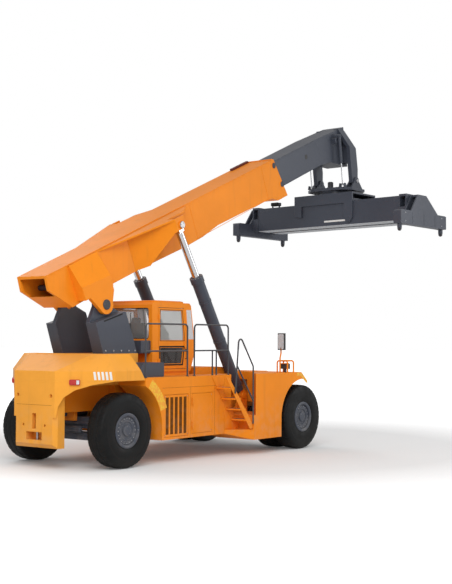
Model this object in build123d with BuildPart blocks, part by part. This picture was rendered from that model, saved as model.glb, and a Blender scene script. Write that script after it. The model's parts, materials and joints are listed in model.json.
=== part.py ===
from build123d import *

import os
from math import atan2, cos, degrees, hypot, radians, sin

# Reach stacker, in millimetres. X runs forward, Y to the left, Z up from the ground.
# Outlines give x from the steer axle and z from the ground; boom outlines give u along
# the boom and w square to it, both from the boom's foot pin.

# ---------------------------------------------------------------- driving dimensions
steer_x = -5490.0  # steer axle, which sets the origin half way along the machine
wheelbase = 6000.0
tyre_radius = 807.5
tyre_width = 500.0
rim_radius = 317.5
steer_track = 1315.0  # half the distance between the steer wheels' centres
drive_outer = 1825.0
drive_inner = 1210.0
kingpin_track = 1000.0

seat_gap = 0.3  # between curved faces that seat on each other
sheet_gap = 0.5  # between flat plates that seat on each other
running = 0.05  # radial clearance of a shaft in its bore
clearance = 6.0  # between pieces that pass each other

foot_x = 200.0  # boom foot pin
foot_z = 3520.0
boom_angle = 23.3  # above the horizontal, as parked
boom_width = 900.0
boom_wall = 20.0
inner_width = 720.0
inner_depth = 770.0
inner_bottom = 295.0
inner_wall = 16.0
boom_rear = -1230.0
boom_front = 7850.0
inner_rear = 600.0
head_u = 11448.0  # head pin
head_w = -570.0
leg_inner = 560.0  # faces of the head's two legs
leg_outer = 680.0

lift_track = 907.0
lift_base = (4840.0, 1350.0)  # x, z of the lift cylinders' foot pins
lift_top = (2730.0, 920.0)  # u, w of their eyes on the boom
barrel_length = 3400.0
barrel_radius = 150.0
rod_radius = 90.0
rod_hidden = 1700.0  # rod left inside the barrel as parked

tower_inner = 470.0
tower_outer = 780.0
lug_thickness = 110.0
lug_radius = 230.0
foot_pin_radius = 85.0
flange_inner = 600.0
flange_outer = 700.0

floor_z = 1920.0  # walkway
cab_half = 780.0
cab_wall = 60.0
cab_floor = 2060.0  # the floor inside, 60 above the cab's underside
cab_rear = 1650.0
body_half = 1600.0
fender_half = 2050.0
door_thickness = 45.0

slew_rest = -3.3
spreader_drop = 1725.0  # from the head pin to the twistlocks' tips
lock_length = 5853.0
lock_width = 2259.0
beam_half = 2560.0
beam_width = 450.0
beam_depth = 700.0
beam_wall = 16.0
beam_centre = 345.0  # middle of each main beam, fore and aft
beam_drop = 660.0  # from the head pin to the beams' tops
slide_gap = 5.0

# ---------------------------------------------------------------- derived places
drive_x = steer_x + wheelbase
wheel_z = tyre_radius
slope = radians(boom_angle)
boom_x_dir = (cos(slope), 0, sin(slope))
boom_z_dir = (-sin(slope), 0, cos(slope))


def on_side(y):
    """Upright plane facing right: x from the steer axle, z from the ground."""
    return Plane(origin=(steer_x, y, 0), x_dir=(1, 0, 0), z_dir=(0, -1, 0))


def on_level(z):
    """Level plane: x from the steer axle, y to the left."""
    return Plane(origin=(steer_x, 0, z), x_dir=(1, 0, 0), z_dir=(0, 0, 1))


def on_boom_side(y):
    """Upright plane facing right, with the boom's u and w."""
    return Plane(origin=(steer_x + foot_x, y, foot_z), x_dir=boom_x_dir, z_dir=(0, -1, 0))


def on_boom_end(u):
    """Plane square to the boom: x across to the left, y as w."""
    return Plane(origin=boom_point(u, 0), x_dir=(0, 1, 0), z_dir=boom_x_dir)


def on_boom_top(w):
    """Plane along the boom's top: x along it, y to the left."""
    return Plane(origin=boom_point(0, w), x_dir=boom_x_dir, z_dir=boom_z_dir)


def boom_point(u, w, y=0.0):
    """A place on the boom in the machine's own frame."""
    x = steer_x + foot_x + u * cos(slope) - w * sin(slope)
    z = foot_z + u * sin(slope) + w * cos(slope)
    return (x, y, z)


def finish(name, builder):
    """Label a piece and write its file."""
    builder.part.label = name
    export_step(builder.part, f"parts/{name}.step")


os.makedirs("parts", exist_ok=True)

head_x, _, head_z = boom_point(head_u, head_w)
slew = radians(slew_rest)
lock_tip_z = head_z - spreader_drop


def on_spreader(z):
    """Level plane under the head pin, turned with the spreader: x fore, y left."""
    x_dir = (cos(slew), sin(slew), 0)
    return Plane(origin=(head_x, 0, z), x_dir=x_dir, z_dir=(0, 0, 1))


def on_spreader_side(x, z=0.0):
    """Upright plane facing rearward across the spreader: x to the right, y up."""
    origin = (head_x + x * cos(slew), x * sin(slew), z)
    return Plane(origin=origin, x_dir=(sin(slew), -cos(slew), 0), z_dir=(-cos(slew), -sin(slew), 0))


def on_spreader_end(y, z=0.0):
    """Upright plane facing right at the spreader's end: x fore, y up."""
    origin = (head_x - y * sin(slew), y * cos(slew), z)
    return Plane(origin=origin, x_dir=(cos(slew), sin(slew), 0), z_dir=(sin(slew), -cos(slew), 0))


# ---------------------------------------------------------------- main frame
girder_inner = 400.0
girder_outer = 560.0
girder_rear = -790.0
girder_join = 690.0  # where the narrow rear girders meet the wide ones
girder_front = wheelbase + 500
girder_top = 1750.0
girder_outline = [  # x, z
    (girder_join, 1180),
    (900, 1180),
    (1150, 700),
    (wheelbase - 1000, 700),
    (wheelbase - 650, 1030),
    (girder_front, 1030),
    (girder_front, girder_top),
    (girder_join, girder_top),
]
cross_members = [  # x, thickness, bottom z, top z, half width
    (-790, 60, 1180, girder_top, girder_inner + 1),
    (girder_join - 50, 100, 1180, girder_top, girder_outer),
    (1180, 60, 760, girder_top, girder_inner + 1),
    (3200, 60, 760, girder_top, girder_inner + 1),
    (wheelbase - 750, 100, 1030, girder_top, girder_inner + 1),
    (wheelbase + 400, 100, 1030, girder_top, girder_inner + 1),
]
foot_lug_x = (4600.0, 5060.0)
foot_lug_thickness = 60.0
foot_pin = 75.0
lug_gap = 62.0  # half the width between the cylinder's foot lugs

pivot_z = 1130.0  # rocking pivot of the steer axle
pivot_radius = 70.0
pivot_block = 90.0

with BuildPart() as main_frame:
    # girders: closed box sections, narrower where the steer wheels swing
    with BuildSketch(on_side(-girder_inner)):
        with BuildLine():
            Polyline(*girder_outline, close=True)
        make_face()
    extrude(amount=girder_outer - girder_inner)
    with BuildSketch(on_side(-girder_inner + 120)):
        with BuildLine():
            Polyline(
                (girder_rear, 1180), (girder_join, 1180), (girder_join, girder_top),
                (girder_rear, girder_top), close=True,
            )
        make_face()
    extrude(amount=100)
    # foot lugs of the lift cylinders, on a box bracket outside the girder
    with BuildSketch(on_side(-girder_outer)):
        with BuildLine():
            Polyline((4250, 760), (5000, 760), (5000, 1000), (4250, 1000), close=True)
        make_face()
    extrude(amount=lift_track + lug_gap + foot_lug_thickness - girder_outer)
    for near in (-lift_track + lug_gap + foot_lug_thickness, -lift_track - lug_gap):
        with BuildSketch(on_side(near)):
            with BuildLine():
                Polyline(
                    (4480, 990), (5000, 990), (lift_base[0] + 150, lift_base[1]),
                    (lift_base[0] - 150, lift_base[1]), close=True,
                )
            make_face()
            with Locations(lift_base):
                Circle(150)
        extrude(amount=foot_lug_thickness)
    mirror(about=Plane.XZ)
    for x, thickness, low, high, half in cross_members:
        with BuildSketch(on_side(-half)):
            with Locations((x + thickness / 2, (low + high) / 2)):
                Rectangle(thickness, high - low)
        extrude(amount=-2 * half)
    # deck plate between the girders, under the cab
    with BuildSketch(on_level(girder_top)):
        with Locations((2225, 0)):
            Rectangle(2130, 2 * girder_outer)
    extrude(amount=floor_z - girder_top - 20)
    # the two trunnion blocks that the steer axle rocks on
    for x in (-300, 300):
        with BuildSketch(on_side(-280)):
            with Locations((x, pivot_z)):
                Rectangle(pivot_block, 300)
        extrude(amount=-560)
    with BuildSketch(Plane(origin=(steer_x - 400, 0, pivot_z), x_dir=(0, 1, 0), z_dir=(1, 0, 0))):
        Circle(pivot_radius + running)
    extrude(amount=800, mode=Mode.SUBTRACT)
    # foot pins, one for each lift cylinder
    for track in (-lift_track, lift_track):
        with BuildSketch(on_side(track + lug_gap + foot_lug_thickness + 25)):
            with Locations(lift_base):
                Circle(foot_pin)
        extrude(amount=2 * (lug_gap + foot_lug_thickness + 25))
finish("main_frame", main_frame)

# ---------------------------------------------------------------- engine
with BuildPart() as engine:
    with BuildSketch(on_side(-300)):
        with BuildLine():
            Polyline(
                (1400, 850), (2500, 850), (2700, 1000), (2900, 1000), (2900, 1560), (1400, 1700),
                close=True,
            )
        make_face()
    extrude(amount=-600)
    with BuildSketch(on_side(-girder_inner)):
        with Locations((1600, 1200), (2500, 1200)):
            Rectangle(160, 120)
    extrude(amount=-2 * girder_inner)
finish("engine", engine)

# ---------------------------------------------------------------- counterweight
weight_rear = -1260.0
weight_bottom = 450.0
weight_top = 1870.0
weight_outline = [  # x, half width
    (weight_rear, 560),
    (-1180, 640),
    (-980, 640),
    (-800, 450),
]
shoulder_sections = [  # z, share of the way along the slanted rear corner
    (1100, 0.03),
    (1340, 0.06),
    (1530, 0.15),
    (1680, 0.33),
    (1790, 0.62),
    (weight_top, 1.0),
]
corner_x = (weight_rear, -450.0)  # where the slanted rear corners begin and end
corner_y = (620.0, 1600.0)
tow_z = 700.0
tow_bore = 35.0
tow_depth = 110.0  # of the pin behind the rear face
tow_bottom = 440.0  # below the jaw, so that the pin enters from below
tow_slot = (850.0, 1180.0)  # lower and upper ends
lug_holes = [  # y, z, radius
    (510, 1560, 38),
    (330, 930, 30),
]

with BuildPart() as counterweight:
    with BuildSketch(on_level(weight_bottom)):
        with BuildLine():
            right = [(x, -y) for x, y in weight_outline]
            left = [(x, y) for x, y in reversed(weight_outline)]
            Polyline(*right, *left, close=True)
        make_face()
    extrude(amount=weight_top - weight_bottom)
    chamfer(counterweight.edges().group_by(Axis.Z)[0].sort_by(Axis.X)[0], 90)
    # shoulders curving out along the slanted corners, above the steer wheels
    for (low, low_share), (high, high_share) in zip(shoulder_sections, shoulder_sections[1:]):
        for z, share in ((low, low_share), (high, high_share)):
            edge_x = corner_x[0] + (corner_x[1] - corner_x[0]) * share
            edge_y = corner_y[0] + (corner_y[1] - corner_y[0]) * share
            with BuildSketch(on_level(z)):
                with BuildLine():
                    Polyline(
                        (weight_rear, -480), (weight_rear, -corner_y[0]), (edge_x, -edge_y),
                        (min(edge_x + 60, -560), -480), close=True,
                    )
                make_face()
        loft(ruled=True)
    mirror(about=Plane.XZ)
    rear = Plane(origin=(steer_x + weight_rear, 0, 0), x_dir=(0, -1, 0), z_dir=(-1, 0, 0))
    # tow hitch: a wide mouth with an upright pin bore through its jaws
    with BuildSketch(rear):
        with Locations((0, tow_z)):
            Rectangle(480, 170)
    extrude(amount=-220, mode=Mode.SUBTRACT)
    with BuildSketch(on_level(tow_bottom)):
        with Locations((weight_rear + tow_depth, 0)):
            Circle(tow_bore)
    extrude(amount=tow_slot[0] + 50 - tow_bottom, mode=Mode.SUBTRACT)
    # upright slot that the tow pin drops through, and blind lifting holes
    with BuildSketch(rear):
        with Locations((0, (tow_slot[0] + tow_slot[1]) / 2)):
            Rectangle(120, tow_slot[1] - tow_slot[0])
    extrude(amount=-tow_depth - 60, mode=Mode.SUBTRACT)
    for y, z, radius in lug_holes:
        with BuildSketch(rear):
            with Locations((-y, z), (y, z)):
                Circle(radius)
        extrude(amount=-120, mode=Mode.SUBTRACT)
finish("counterweight", counterweight)

# ---------------------------------------------------------------- rear body
rim_z = 2080.0
plateau_z = 2440.0
rear_sections = [  # z, then x and half width of four corners from rear to front
    (weight_top, ((weight_rear, corner_y[0]), (corner_x[1], corner_y[1]), (490, corner_y[1]))),
    (rim_z, ((weight_rear, corner_y[0]), (corner_x[1], corner_y[1]), (350, corner_y[1]))),
    (plateau_z, ((-480, 950), (-380, 1300), (100, 1500))),
]
tower_front = 1130.0

with BuildPart() as rear_body:
    for (low, low_points), (high, high_points) in zip(rear_sections, rear_sections[1:]):
        for z, points in ((low, low_points), (high, high_points)):
            with BuildSketch(on_level(z)):
                with BuildLine():
                    right = [(x, -y) for x, y in points]
                    left = [(x, y) for x, y in reversed(points)]
                    Polyline(*right, *left, close=True)
                make_face()
        loft(ruled=True)
    # middle part, which carries the boom towers
    with BuildSketch(on_level(girder_top)):
        with Locations(((tower_front - 500) / 2, 0)):
            Rectangle(tower_front + 500, 2 * tower_outer + 40)
    extrude(amount=plateau_z - girder_top)
finish("rear_body", rear_body)

# ---------------------------------------------------------------- side bodies
arch_radius = 1060.0
body_rear = 1050.0
body_front = 3300.0
body_bottom = 530.0
inner_face = girder_outer + 1
door_x = (2100.0, 2840.0)
door_z = (620.0, 1520.0)
louvre_x = (1130.0, 1960.0)
louvre_z = (590.0, 1520.0)
locker_depth = 520.0
hinge_radius = 14.0

with BuildPart() as side_bodies:
    with BuildSketch(on_side(-tower_outer - 25)):
        with BuildLine():
            Polyline(
                (500, 1760), (500, floor_z), (body_front, floor_z), (body_front, body_bottom),
                (body_rear - 350, body_bottom), (500, body_bottom), close=True,
            )
        make_face()
        with Locations((0, wheel_z)):
            Circle(arch_radius, mode=Mode.SUBTRACT)
        with Locations((500, 600)):
            Rectangle(2 * (body_rear - 500), 700, mode=Mode.SUBTRACT)
    extrude(amount=body_half - tower_outer - 25)
    # inner part under the walkway, beside the girders
    with BuildSketch(on_side(-inner_face)):
        with Locations(((tower_front + 10 + body_front) / 2, (body_bottom + floor_z) / 2)):
            Rectangle(body_front - tower_front - 10, floor_z - body_bottom)
    extrude(amount=tower_outer + 25 - inner_face)
    # seats for the louvre panel and the locker door, then the locker itself
    wall = on_side(-body_half)
    for xs, zs in ((louvre_x, louvre_z), (door_x, door_z)):
        with BuildSketch(wall):
            with Locations(((xs[0] + xs[1]) / 2, (zs[0] + zs[1]) / 2)):
                Rectangle(xs[1] - xs[0] + 12, zs[1] - zs[0] + 12)
        extrude(amount=-door_thickness - sheet_gap, mode=Mode.SUBTRACT)
    with BuildSketch(wall):
        with Locations(((door_x[0] + door_x[1]) / 2, (door_z[0] + door_z[1]) / 2)):
            Rectangle(door_x[1] - door_x[0] - 80, door_z[1] - door_z[0] - 80)
    extrude(amount=-locker_depth, mode=Mode.SUBTRACT)
    mirror(about=Plane.XZ)
finish("side_bodies", side_bodies)

# louvre panels: five columns of upright slots
with BuildPart() as louvre_panels:
    with BuildSketch(on_side(-body_half + door_thickness + sheet_gap)):
        with Locations(((louvre_x[0] + louvre_x[1]) / 2, (louvre_z[0] + louvre_z[1]) / 2)):
            Rectangle(louvre_x[1] - louvre_x[0], louvre_z[1] - louvre_z[0])
    extrude(amount=door_thickness - 9)
    with BuildSketch(on_side(-body_half + 10)):
        with Locations(((louvre_x[0] + louvre_x[1]) / 2, (louvre_z[0] + louvre_z[1]) / 2)):
            with GridLocations(155, 0, 5, 1):
                Rectangle(95, louvre_z[1] - louvre_z[0] - 110)
    extrude(amount=-20, mode=Mode.SUBTRACT)
    mirror(about=Plane.XZ)
finish("louvre_panels", louvre_panels)

for side_name, side in (("right", -1), ("left", 1)):
    with BuildPart() as service_door:
        inner = -body_half + door_thickness if side < 0 else body_half
        with BuildSketch(on_side(inner)):
            with Locations(((door_x[0] + door_x[1]) / 2, (door_z[0] + door_z[1]) / 2)):
                RectangleRounded(door_x[1] - door_x[0], door_z[1] - door_z[0], 20)
        extrude(amount=door_thickness)
        # hinge knuckles and pull latch
        for z in (door_z[0] + 180, door_z[1] - 180):
            with BuildSketch(on_level(z)):
                with Locations((door_x[0], side * (body_half + hinge_radius + 3))):
                    Circle(hinge_radius)
            extrude(amount=90, both=True)
            with BuildSketch(on_level(z)):
                with Locations((door_x[0] + 34, side * (body_half + 6))):
                    Rectangle(60, 14)
            extrude(amount=70, both=True)
        with BuildSketch(on_side(side * body_half + 10)):
            with Locations((door_x[1] - 60, (door_z[0] + door_z[1]) / 2)):
                SlotOverall(150, 36, rotation=90)
        extrude(amount=20)
    finish(f"service_door_{side_name}", service_door)

# ---------------------------------------------------------------- front body
front_arch = 960.0
fender_inner = 935.0
recess_floor = 950.0
recess_plan = [  # x, y: open towards the steps, around the lift cylinder's foot
    (4050, 750),
    (5120, 750),
    (5120, 1110),
    (3890, 2100),
    (3000, 2100),
    (4050, 1180),
]

fender_cuts = [  # lowest z, x from and to, y from and to
    (floor_z, body_front, 4060, 900, 1670),
    (300, 4200, 5080, 900, 1050),
    (620, 3000, 3890, body_half + 3, 2200),
]

with BuildPart() as front_fenders:
    with BuildSketch(on_side(-fender_inner)):
        with BuildLine():
            Polyline(
                (body_front + 5, body_bottom), (3900, 370), (wheelbase - front_arch, 370),
                (wheelbase - front_arch, wheel_z), (wheelbase + 240, wheel_z), (wheelbase + 240, 1650),
                (wheelbase + 190, 1720), (wheelbase - 70, 1940), (body_front + 5, 1940), close=True,
            )
        make_face()
        with Locations((wheelbase, wheel_z)):
            Circle(front_arch, mode=Mode.SUBTRACT)
    extrude(amount=fender_half - fender_inner)
    # the flare from the side body out to the fender
    with BuildSketch(on_level(0)):
        with BuildLine():
            Polyline(
                (3000, -body_half), (body_front, -body_half), (3900, -fender_half),
                (3900, -2500), (3000, -2500), close=True,
            )
        make_face()
    extrude(amount=3000, mode=Mode.SUBTRACT)
    # recess around the lift cylinder
    with BuildSketch(on_level(recess_floor)):
        with BuildLine():
            Polyline(*[(x, -y) for x, y in recess_plan], close=True)
        make_face()
    extrude(amount=1500, mode=Mode.SUBTRACT)
    # well for the cylinder's foot lugs, and the bay that the steps stand in
    for z, left, right, near, far in fender_cuts:
        with BuildSketch(on_level(z)):
            with Locations(((left + right) / 2, -(near + far) / 2)):
                Rectangle(right - left, far - near)
        extrude(amount=2000, mode=Mode.SUBTRACT)
    mirror(about=Plane.XZ)
finish("front_fenders", front_fenders)

deck_outline = [  # x, z
    (body_front + 5, girder_top + sheet_gap),
    (wheelbase + 200, girder_top + sheet_gap),
    (wheelbase + 200, 1860),
    (wheelbase, 1950),
    (4480, 1950),
    (4340, 2080),
    (body_front + 5, 2080),
]
with BuildPart() as front_deck:
    with BuildSketch(on_side(-740)):
        with BuildLine():
            Polyline(*deck_outline, close=True)
        make_face()
    extrude(amount=-1480)
    with BuildSketch(on_side(-fender_inner + sheet_gap)):
        with BuildLine():
            Polyline(
                (wheelbase - 870, girder_top + sheet_gap), (wheelbase + 200, girder_top + sheet_gap),
                (wheelbase + 200, 1860), (wheelbase, 1950), (wheelbase - 870, 1950), close=True,
            )
        make_face()
    extrude(amount=-2 * (fender_inner - sheet_gap))
finish("front_deck", front_deck)

# ---------------------------------------------------------------- boom towers
tower_outline = [  # x, z
    (20, plateau_z),
    (-210, 3110),
    (40, 3180),
    (680, 3370),
    (740, 3370),
    (1010, 2740),
    (1120, plateau_z),
]

with BuildPart() as boom_towers:
    with BuildSketch(on_side(-tower_inner)):
        with BuildLine():
            Polyline(*tower_outline, close=True)
        make_face()
    extrude(amount=tower_outer - tower_inner)
    # lug beside the boom, rounded about the foot pin
    with BuildSketch(on_side(-tower_inner)):
        with BuildLine():
            Polyline((-210, 3110), (-20, 3500), (430, 3500), (740, 3370), (680, 3100), close=True)
        make_face()
        with Locations((foot_x, foot_z)):
            Circle(lug_radius)
            Circle(foot_pin_radius + running, mode=Mode.SUBTRACT)
    extrude(amount=lug_thickness)
    mirror(about=Plane.XZ)
finish("boom_towers", boom_towers)

# ---------------------------------------------------------------- steer axle
axle_half = 200.0
yoke_radius = 58.0
knuckle_half = 150.0
knuckle_gap = 0.8
kingpin_radius = 42.0
steer_beam = [  # half width along the axle, from the middle outwards: y, half x
    (0, 200),
    (780, 200),
    (900, 90),
    (kingpin_track, yoke_radius),
]
beam_low = 560.0
beam_high = 1055.0
steer_cylinder = (-262.0, 790.0)  # x, z
steer_rod_radius = 38.0

with BuildPart() as steer_axle:
    with BuildSketch(on_level(beam_low)):
        with BuildLine():
            Polyline(
                *[(-half, y) for y, half in steer_beam], *[(half, y) for y, half in reversed(steer_beam)],
                (axle_half, -1), *[(half, -y) for y, half in steer_beam[1:]],
                *[(-half, -y) for y, half in reversed(steer_beam[1:])], close=True,
            )
        make_face()
        with Locations((0, kingpin_track), (0, -kingpin_track)):
            Circle(yoke_radius)
    extrude(amount=beam_high - beam_low)
    # fork ends around the knuckles
    for y in (-kingpin_track, kingpin_track):
        with BuildSketch(on_level(wheel_z - knuckle_half - knuckle_gap)):
            with Locations((0, y)):
                Circle(260)
        extrude(amount=2 * (knuckle_half + knuckle_gap), mode=Mode.SUBTRACT)
        with BuildSketch(on_level(beam_low)):
            with Locations((0, y)):
                Circle(kingpin_radius)
        extrude(amount=beam_high - beam_low)
    # ribs of the cast beam
    with BuildSketch(on_side(-700)):
        with Locations((-axle_half, 700), (-axle_half, 930), (axle_half, 700), (axle_half, 930)):
            Rectangle(60, 50)
    extrude(amount=-1400)
    # rocking pivot between the frame's trunnion blocks
    boss_start = (steer_x - 300 + pivot_block / 2 + clearance, 0, pivot_z)
    with BuildSketch(Plane(origin=boss_start, x_dir=(0, 1, 0), z_dir=(1, 0, 0))):
        Circle(pivot_radius + 40)
    extrude(amount=600 - pivot_block - 12)
    with BuildSketch(Plane(origin=(steer_x - 360, 0, pivot_z), x_dir=(0, 1, 0), z_dir=(1, 0, 0))):
        Circle(pivot_radius)
    extrude(amount=720)
    # steering cylinder's barrel, clamped along the rear of the beam
    x, z = steer_cylinder
    with BuildSketch(on_side(-430)):
        with Locations((x, z)):
            Circle(80)
            Circle(steer_rod_radius + running, mode=Mode.SUBTRACT)
    extrude(amount=-860)
    with BuildSketch(on_side(-430)):
        with Locations((x + 50, z)):
            Rectangle(60, 120)
        with Locations((x, z)):
            Circle(79, mode=Mode.SUBTRACT)
    extrude(amount=-860)
finish("steer_axle", steer_axle)

# ---------------------------------------------------------------- steering rod
with BuildPart() as steering_rod:
    with BuildSketch(on_side(-700)):
        with Locations(steer_cylinder):
            Circle(steer_rod_radius)
    extrude(amount=-1400)
    for side in (-1, 1):
        with BuildSketch(on_level(steer_cylinder[1] - 22)):
            with Locations((steer_cylinder[0], side * 745)):
                SlotOverall(210, 90, rotation=90)
            with Locations((steer_cylinder[0], side * 800)):
                Circle(24, mode=Mode.SUBTRACT)
        extrude(amount=44)
finish("steering_rod", steering_rod)

# ---------------------------------------------------------------- steer wheels and knuckles
spindle_radius = 90.0
arm_length = 215.0

for side_name, side in (("right", -1), ("left", 1)):
    kingpin_y = side * kingpin_track
    with BuildPart() as knuckle:
        with BuildSketch(on_level(wheel_z - knuckle_half)):
            with Locations((0, kingpin_y)):
                Circle(yoke_radius + 2)
            with Locations((0, side * (kingpin_track + 50))):
                Rectangle(116, 30)
            with Locations((0, kingpin_y)):
                Circle(kingpin_radius + running, mode=Mode.SUBTRACT)
        extrude(amount=2 * knuckle_half)
        # flange and spindle
        with BuildSketch(on_side(side * (kingpin_track + 45))):
            with Locations((0, wheel_z)):
                Circle(150)
        extrude(amount=-side * 28)
        with BuildSketch(on_side(side * (kingpin_track + 70))):
            with Locations((0, wheel_z)):
                Circle(spindle_radius)
        extrude(amount=-side * 400)
        # steering arm towards the rear, below the rod's eye
        with BuildSketch(on_level(wheel_z - 125)):
            with BuildLine():
                Polyline(
                    (0, kingpin_y - side * 55), (0, kingpin_y + side * 55),
                    (-arm_length, kingpin_y + side * 10), (-arm_length, kingpin_y - side * 60), close=True,
                )
            make_face()
            with Locations((-arm_length, kingpin_y - side * 25)):
                Circle(38)
            with Locations((0, kingpin_y)):
                Circle(kingpin_radius + running, mode=Mode.SUBTRACT)
        extrude(amount=45)
    finish(f"knuckle_{side_name}", knuckle)

tyre_profile = [  # half width, radius, from the bead to the tread
    (188, rim_radius + seat_gap),
    (190, rim_radius + 40),
    (245, 430),
    (250, 560),
    (238, 690),
    (205, tyre_radius - 28),
    (165, tyre_radius),
]


def wheel_plane(axle):
    """Plane through a wheel's axis: x to the left, y as the radius."""
    return Plane(origin=(axle, 0, wheel_z), x_dir=(0, 1, 0), z_dir=(1, 0, 0))


def ring(axle, outline):
    """Revolve a half section of (y, radius) points round a wheel's axis."""
    with BuildSketch(wheel_plane(axle)) as section:
        with BuildLine():
            Polyline(*outline, close=True)
        make_face()
    revolve(section.sketch, axis=Axis((axle, 0, wheel_z), (0, 1, 0)))


def tyre_section(y):
    """Half section of a tyre whose middle is at y."""
    right = [(y + half, radius) for half, radius in tyre_profile]
    left = [(y - half, radius) for half, radius in reversed(tyre_profile)]
    return right + left


rim_steps = [  # distance outwards from the tyre's middle, radius of the rim's outside
    (-215, rim_radius + 22),
    (-198, rim_radius + 22),
    (-196, rim_radius),
    (196, rim_radius),
    (198, rim_radius + 22),
    (215, rim_radius + 22),
]
rim_thickness = 14.0
hub_cap = 300.0

for side_name, side in (("right", -1), ("left", 1)):
    middle = side * steer_track
    with BuildPart() as steer_tyre:
        ring(steer_x, tyre_section(middle))
    finish(f"steer_tyre_{side_name}", steer_tyre)

    with BuildPart() as steer_rim:
        outside = [(middle + side * out, radius) for out, radius in rim_steps]
        inside = [(middle + side * out, rim_radius - rim_thickness) for out in (215, -215)]
        ring(steer_x, outside + inside)
        # dished disc, hub drum and its closed nose
        hub = [  # distance outwards from the tyre's middle, radius
            (-220, spindle_radius + running),
            (-220, 165),
            (20, 190),
            (60, rim_radius - rim_thickness + 4),
            (100, rim_radius - rim_thickness + 4),
            (130, 240),
            (175, 225),
            (190, 200),
            (190, 0),
            (165, 0),
            (165, spindle_radius + running),
        ]
        ring(steer_x, [(middle + side * out, radius) for out, radius in hub])
    finish(f"steer_rim_{side_name}", steer_rim)

# ---------------------------------------------------------------- drive axle and its twin wheels
tube_radius = 165.0
drive_spindle = 140.0
with BuildPart() as drive_axle:
    half_axle = [  # y, radius
        (0, 330),
        (150, 320),
        (300, 230),
        (560, 190),
        (870, 175),
        (870, 260),
        (905, 260),
        (905, drive_spindle),
        (1500, drive_spindle),
        (1500, 0),
        (0, 0),
    ]
    ring(drive_x, half_axle)
    ring(drive_x, [(-y, radius) for y, radius in half_axle])
    # spring pads bolted under the girders
    for y in (-480, 480):
        with BuildSketch(on_level(wheel_z)):
            with Locations((wheelbase, y)):
                Rectangle(340, 150)
        extrude(amount=1030 - sheet_gap - wheel_z)
    # gear input facing the engine
    with BuildSketch(Plane(origin=(drive_x - 560, 0, wheel_z), x_dir=(0, 1, 0), z_dir=(1, 0, 0))):
        Circle(110)
    extrude(amount=400)
finish("drive_axle", drive_axle)

for side_name, side in (("right", -1), ("left", 1)):
    with BuildPart() as drive_tyres:
        ring(drive_x, tyre_section(side * drive_inner))
        ring(drive_x, tyre_section(side * drive_outer))
    finish(f"drive_tyres_{side_name}", drive_tyres)

    with BuildPart() as drive_rims:
        for track in (drive_inner, drive_outer):
            middle = side * track
            outside = [(middle + side * out, radius) for out, radius in rim_steps]
            inside = [(middle + side * out, rim_radius - rim_thickness) for out in (215, -215)]
            ring(drive_x, outside + inside)
        # spacer between the twins
        between = [  # y, radius
            (drive_inner + 210, 303),
            (drive_inner + 210, 330),
            (drive_outer - 210, 330),
            (drive_outer - 210, 303),
        ]
        ring(drive_x, [(side * y, radius) for y, radius in between])
        hub = [  # y, radius
            (drive_inner - 290, drive_spindle + running),
            (drive_inner - 290, 235),
            (drive_inner + 150, 235),
            (drive_inner + 150, 306),
            (drive_inner + 190, 306),
            (drive_inner + 190, 235),
            (drive_outer - 120, 235),
            (drive_outer - 60, 306),
            (drive_outer + 60, 306),
            (drive_outer + 60, 250),
            (drive_outer + 150, 215),
            (drive_outer + 180, 170),
            (drive_outer + 180, 0),
            (1506, 0),
            (1506, drive_spindle + running),
        ]
        ring(drive_x, [(side * y, radius) for y, radius in hub])
    finish(f"drive_rims_{side_name}", drive_rims)

# ---------------------------------------------------------------- cab
cab_outline = [  # x, z
    (cab_rear, 2000),
    (cab_rear - 20, 3560),
    (cab_rear + 30, 3620),
    (2980, 3620),
    (3040, 3560),
    (3190, 2700),
    (3190, 2450),
    (3030, 2000),
]
door_opening = [  # x, z
    (1850, cab_floor),
    (1850, 3500),
    (2780, 3500),
    (2860, 2900),
    (2860, cab_floor),
]

with BuildPart() as cab_shell:
    with BuildSketch(on_side(cab_half)):
        with BuildLine():
            Polyline(*cab_outline, close=True)
        make_face()
    extrude(amount=2 * cab_half)
    with BuildSketch(on_side(cab_half - cab_wall)):
        with BuildLine():
            Polyline(*cab_outline, close=True)
        make_face()
        offset(amount=-cab_wall, kind=Kind.INTERSECTION)
    extrude(amount=2 * (cab_half - cab_wall), mode=Mode.SUBTRACT)
    # door openings through both sides
    with BuildSketch(on_side(cab_half + 1)):
        with BuildLine():
            Polyline(*door_opening, close=True)
        make_face()
    extrude(amount=2 * cab_half + 2, mode=Mode.SUBTRACT)
    # rear window, windscreen and a skylight in the roof
    with BuildSketch(Plane(origin=(steer_x + cab_rear - 100, 0, 0), x_dir=(0, 1, 0), z_dir=(1, 0, 0))):
        with Locations((0, 3125)):
            RectangleRounded(1340, 720, 60)
    extrude(amount=200, mode=Mode.SUBTRACT)
    with BuildSketch(Plane(origin=(steer_x + 2900, 0, 0), x_dir=(0, 1, 0), z_dir=(1, 0, 0))):
        with Locations((0, 3030)):
            RectangleRounded(1380, 950, 60)
    extrude(amount=500, mode=Mode.SUBTRACT)
    with BuildSketch(on_level(3500)):
        with Locations((2500, 0)):
            RectangleRounded(700, 900, 60)
    extrude(amount=200, mode=Mode.SUBTRACT)
finish("cab_shell", cab_shell)

with BuildPart() as cab_base:
    with BuildSketch(on_side(cab_half - 30)):
        with BuildLine():
            Polyline(
                (cab_rear + 20, floor_z), (3010, floor_z), (3020, 2000 - sheet_gap),
                (cab_rear, 2000 - sheet_gap), close=True,
            )
        make_face()
    extrude(amount=2 * cab_half - 60)
finish("cab_base", cab_base)

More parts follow.
